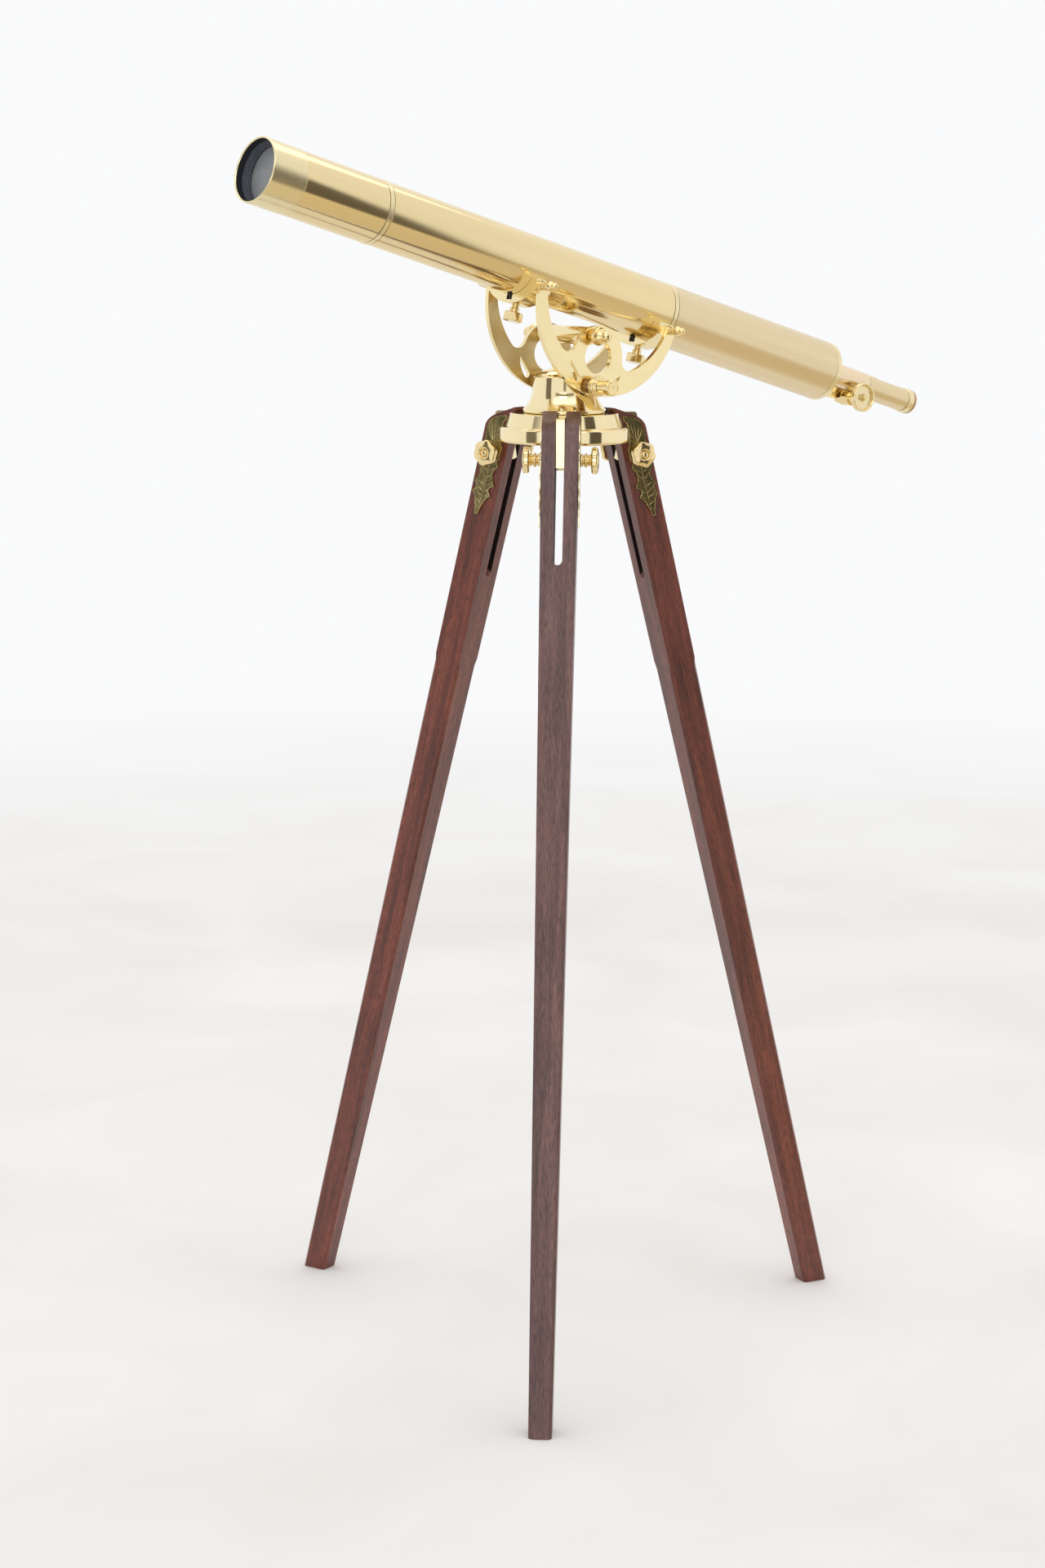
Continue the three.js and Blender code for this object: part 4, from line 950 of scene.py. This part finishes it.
def groove(points, y):
    """A three-sided tool that follows a stroke drawn in X and Z and cuts below the face at y."""
    vertices, faces = [], []
    for i, (x, z) in enumerate(points):
        ahead = Vector(points[min(i + 1, len(points) - 1)]) - Vector(points[max(i - 1, 0)])
        side = Vector((-ahead.y, ahead.x)).normalized()
        share = i / (len(points) - 1)
        swell = 0.35 + 0.65 * math.sin(math.pi * min(1.0, 0.25 + share * 0.75))
        reach = side * GROOVE_WIDTH * swell * 2
        top = y + GROOVE_DEPTH
        vertices += [(x + reach.x, top, z + reach.y), (x - reach.x, top, z - reach.y),
                     (x, y - GROOVE_DEPTH * swell, z)]
    for i in range(len(points) - 1):
        for k in range(3):
            n = (k + 1) % 3
            faces.append([i * 3 + k, i * 3 + n, i * 3 + 3 + n, i * 3 + 3 + k])
    last = 3 * (len(points) - 1)
    faces += [[0, 1, 2], [last, last + 1, last + 2]]
    return vertices, faces


def leaf_strokes():
    """Engraved lines: a stem with paired veins below the pivot and a fan of blades above it."""
    stem = curve((3, -14), (0, -45), (5, -86), 14)
    strokes = [stem]
    for z, left, right in (
        (-20, (-9.5, -16.5), (15.5, -19)), (-29, (-6, -26.5), (13, -27.5)), (-40, (-9.5, -42.5), (16.5, -43.5)),
        (-49, (-5.5, -50.5), (15, -48.5)), (-56, (-8.2, -58), (16.5, -58.5)), (-66, (-2.2, -70), (12.5, -68)),
    ):
        x = 3 - 0.055 * (-z - 14)
        strokes.append(curve((x - 1.6, z - 7), ((x + left[0]) / 2 - 1, z - 5), left, 7))
        strokes.append(curve((x + 1.8, z - 7), ((x + right[0]) / 2 + 1, z - 5), right, 7))
    blades = (((-5.5, 50), -3.5), ((0.5, 47), -1.5), ((6, 45.5), 0.5), ((11.5, 40), 2.5), ((15.5, 33), 4))
    for tip, bend in blades:
        foot = (3 + (tip[0] - 3) * 0.18, 14 + abs(tip[0] - 4) * 0.12)
        middle = ((foot[0] + tip[0]) / 2 + bend, (foot[1] + tip[1]) / 2)
        strokes.append(curve(foot, middle, tip, 8))
    return strokes


def leaf_shape():
    thickness = 1.2
    hole = arc(0, 0, BOLT_HOLE, 0, 345, 23)
    outline = leaf_outline()
    shape = plate(outline, 0, thickness, [hole])
    border = []
    for x, z in outline:
        inward = Vector((3 + min(0, z) * 0.02 - x, (max(-82, min(50, z)) - z) * 2.5)).normalized() * 1.7
        border.append((x + inward.x, z + inward.y))
    tools = [groove(stroke, thickness) for stroke in [*leaf_strokes(), border + border[:1]]]
    return boolean(shape, joined(*tools))


def hand_knob(carries_bolt):
    """A six-lobed hand knob on a ringed neck, along +Y from the face it presses."""
    base = half_width(0) + 2 * GAP + 1.4

    def radius_at(radius, angle):
        share = max(0.0, min(1.0, (radius - 11) / 5))
        return radius + share * 0.85 * math.cos(6 * angle)

    profile = from_base(base, [
        (0, 0), (0, 8), (0.7, 8.7), (2.4, 8.7), (3.1, 8), (3.8, 6.4), (4.6, 6.4), (5.3, 8.4), (6.2, 9.7),
        (7.8, 9.7), (8.8, 8), (9.4, 6.8), (11.4, 7.4), (13, 9.6), (13.8, 13), (14.6, 15.8), (16, 17),
        (20.8, 17), (22.3, 16.1), (23.1, 14), (23.7, 11), (24.1, 8.4), (23.4, 6.9), (21, 6.3), (20.4, 5.3),
        (21, 4.5), (22.6, 4.3), (23.8, 3), (24.2, 0),
    ])
    shape = turned("y", profile, False, 120, 0.6, radius_at)
    if carries_bolt:
        return joined(shape, rod("y", 4, -base - 10, base - 0.02))
    return shape


def make_legs():
    wood = leg_shape()
    leaf = leaf_shape()
    taper = math.atan((half_width(0) - half_width(-100)) / 100)
    for name in LEGS:
        place = leg_place(name)
        leg = add(f"leg_wood_{name}", wood, place, f"leg_{name}", "mahogany", WOODS[name], [f"leg_{name}"], 0.7,
                  sharp=25, settled=True)
        # Faces inside the slot take the painted slot shadow, a near-black colour for the shade in the recess.
        leg.data.materials.append(SLOT_PAINTED_SHADE)
        to_leg = place.inverted()
        for face in leg.data.polygons:
            across = (to_leg.to_3x3() @ face.normal).y
            if abs((to_leg @ face.center).y) < (SLOT_WIDTH / 2 + 0.05) * MM and abs(across) > 0.9:
                face.material_index = 1
        for label, side in (("a", 1), ("b", -1)):
            add(f"leaf_{name}_{label}", placed_leaf(leaf, side, taper), place, f"leg_{name}", "antique_brass",
                LEAF_BRASS, [f"leaf_plate_{name}_{label}"], 0.5, RIM_BRASS)
        for label, side, bolt in (("bolt", 1, True), ("nut", -1, False)):
            knob = moved(hand_knob(bolt), turn=0 if side > 0 else math.pi)
            add(f"hand_knob_{label}_{name}", knob, place, f"leg_{label}_{name}", *GOLD,
                [f"leg_knob_{label}_{name}"])


def placed_leaf(leaf, side, taper):
    """The leaf laid on the leg's +Y or -Y face, which leans by the leg's taper."""
    vertices, faces = moved(moved(leaf, (0, half_width(0) + GAP, 0)), turn=taper, axis="X")
    return [(v.x, v.y * side, v.z) for v in vertices], faces


# ---------------- studio

CAMERA_OFFSET_M = (-2.704, -3.338, 1.571)
CAMERA_HEADING = 51.7
CAMERA_PITCH = 10.06
CAMERA_ROLL = 0.36
FOCAL_LENGTH = 73.4


def make_camera():
    data = bpy.data.cameras.new("camera")
    data.lens = FOCAL_LENGTH
    data.sensor_width = 36
    data.shift_y = -0.0186
    data.clip_end = 100
    heading = Matrix.Rotation(math.radians(CAMERA_HEADING - 90), 4, "Z")
    pitch = Matrix.Rotation(math.radians(90 - CAMERA_PITCH), 4, "X")
    roll = Matrix.Rotation(math.radians(CAMERA_ROLL), 4, "Z")
    place = Matrix.Translation(Vector((HUB_X_M, HUB_Y_M, 0)) + Vector(CAMERA_OFFSET_M))
    bpy.context.scene.camera = put("camera", data, place @ heading @ pitch @ roll)


def facing(place_m, target_m):
    """A place whose -Z looks at the target."""
    turn = (Vector(target_m) - Vector(place_m)).to_track_quat("-Z", "Y").to_matrix().to_4x4()
    return Matrix.Translation(place_m) @ turn


def add_light(name, place_m, target_m, size_m, power):
    data = bpy.data.lights.new(name, "AREA")
    data.shape = "RECTANGLE"
    data.size, data.size_y = size_m
    data.energy = power
    put(name, data, facing(place_m, target_m)).visible_camera = False


def add_flag(name, place_m, target_m, size_m, color, soft_m=0.25):
    """A card with soft sides that only shows in reflections."""
    width, height = size_m[0] / 2, size_m[1] / 2
    mesh = bpy.data.meshes.new(name)
    corners = [(-width, -height, 0), (width, -height, 0), (width, height, 0), (-width, height, 0)]
    mesh.from_pydata(corners, [], [(0, 1, 2, 3)])
    material = bpy.data.materials.new(name)
    material.use_nodes = True
    tree = material.node_tree
    glow = add_node(tree, "Emission", Color=(*color, 1))
    split = add_node(tree, "SeparateXYZ", add_node(tree, "TexCoord").outputs["Object"])
    shares = []
    for axis, half in (("X", width), ("Y", height)):
        distance = add_node(tree, "Math", split.outputs[axis])
        distance.operation = "ABSOLUTE"
        fade = add_node(tree, "MapRange", distance.outputs["Value"], From_Min=half - soft_m, From_Max=half,
                        To_Min=1, To_Max=0)
        fade.interpolation_type = "SMOOTHSTEP"
        shares.append(fade.outputs["Result"])
    share = add_node(tree, "Math", *shares)
    share.operation = "MULTIPLY"
    clear = add_node(tree, "BsdfTransparent")
    cover = add_node(tree, "MixShader", share.outputs["Value"], clear.outputs["BSDF"], glow.outputs["Emission"])
    tree.links.new(cover.outputs["Shader"], tree.nodes["Material Output"].inputs["Surface"])
    mesh.materials.append(material)
    card = put(name, mesh, facing(place_m, target_m))
    card.visible_camera = False
    card.visible_diffuse = False
    card.visible_shadow = False
    card.visible_transmission = False


FLOOR_EDGE_M, FLOOR_FADE_M = 5.5, 2.4
WHITE_ROOM = 0.97
BACKDROP = (0.955, 0.96, 0.97)


def make_floor():
    """A pale floor that fades into the backdrop, so that it has no far edge."""
    bpy.ops.mesh.primitive_plane_add(size=2 * FLOOR_EDGE_M, location=(0, 0, -0.0005))
    floor = bpy.context.active_object
    floor.name = "studio_floor"
    surface = Surface("studio_floor", (0.86, 0.845, 0.825), 0.9)
    surface.set("Specular IOR Level", 0.0)
    mottle = surface.noise((1, 1, 1), 1.8, 5.0, 0.8)
    surface.link(surface.ramp(mottle, [(0.3, (0.81, 0.785, 0.76)), (0.7, (0.87, 0.86, 0.845))]), "Base Color")
    reach = surface.add("VectorMath", surface.position)
    reach.operation = "LENGTH"
    surface.link(surface.span(reach.outputs["Value"], 1, 0, FLOOR_FADE_M, FLOOR_EDGE_M), "Alpha")
    floor.data.materials.append(surface.material)


def make_world():
    """A white room; the camera itself sees a plain backdrop."""
    world = bpy.data.worlds.new("studio")
    world.use_nodes = True
    tree = world.node_tree
    room = tree.nodes["Background"]
    room.inputs["Color"].default_value = (WHITE_ROOM, WHITE_ROOM, WHITE_ROOM, 1)
    backdrop = add_node(tree, "Background", Color=(*BACKDROP, 1))
    from_camera = add_node(tree, "LightPath").outputs["Is Camera Ray"]
    white, plain = room.outputs["Background"], backdrop.outputs["Background"]
    switch = add_node(tree, "MixShader", from_camera, white, plain)
    tree.links.new(switch.outputs["Shader"], tree.nodes["World Output"].inputs["Surface"])
    bpy.context.scene.world = world


def make_studio():
    bpy.context.scene.view_settings.view_transform = "Standard"
    make_camera()
    make_floor()
    make_world()
    add_light("window", (-2.6, -2.6, 3.2), (0, 0, 1.1), (1.8, 1.8), 14)
    add_light("top", (0.5, 0.6, 3.6), (0, 0, 1.0), (2.6, 2.0), 12)
    add_flag("dark_room", (0.74, -2.45, 1.55), (0.74, 0, 1.55), (1.28, 3.1), (0.12, 0.105, 0.085), 0.15)
    add_flag("dark_hall", (-3.07, 0.42, 1.55), (0, 0.42, 1.55), (1.4, 3.1), (0.2, 0.18, 0.15))
    add_flag("dark_stand", (-2.72, -3.42, 1.85), (0, 0, 1.4), (0.9, 1.0), (0.3, 0.27, 0.2), 0.2)
    add_flag("dark_beam", (-2.2, -2.7, 2.55), (0, 0, 1.4), (4.5, 0.55), (0.3, 0.26, 0.2), 0.12)
    add_flag("bright_window", (-2.9, -3.6, 0.85), (0, 0, 1.2), (3.2, 1.3), (1.6, 1.6, 1.6))
    add_flag("bright_ceiling", (-1.5, -1.8, 3.5), (0, 0, 1.3), (4.4, 1.7), (1.5, 1.5, 1.5))
    add_flag("warm_floor", (0.4, -2.1, 0.002), (0.4, -2.1, 2), (5.0, 3.9), (0.74, 0.64, 0.47), 0.5)


make_hub()
make_turret()
make_plates()
make_axle()
make_clamp_knob()
make_saddles()
make_barrels()
make_objective()
make_focuser()
make_legs()
make_studio()

bpy.context.view_layer.update()
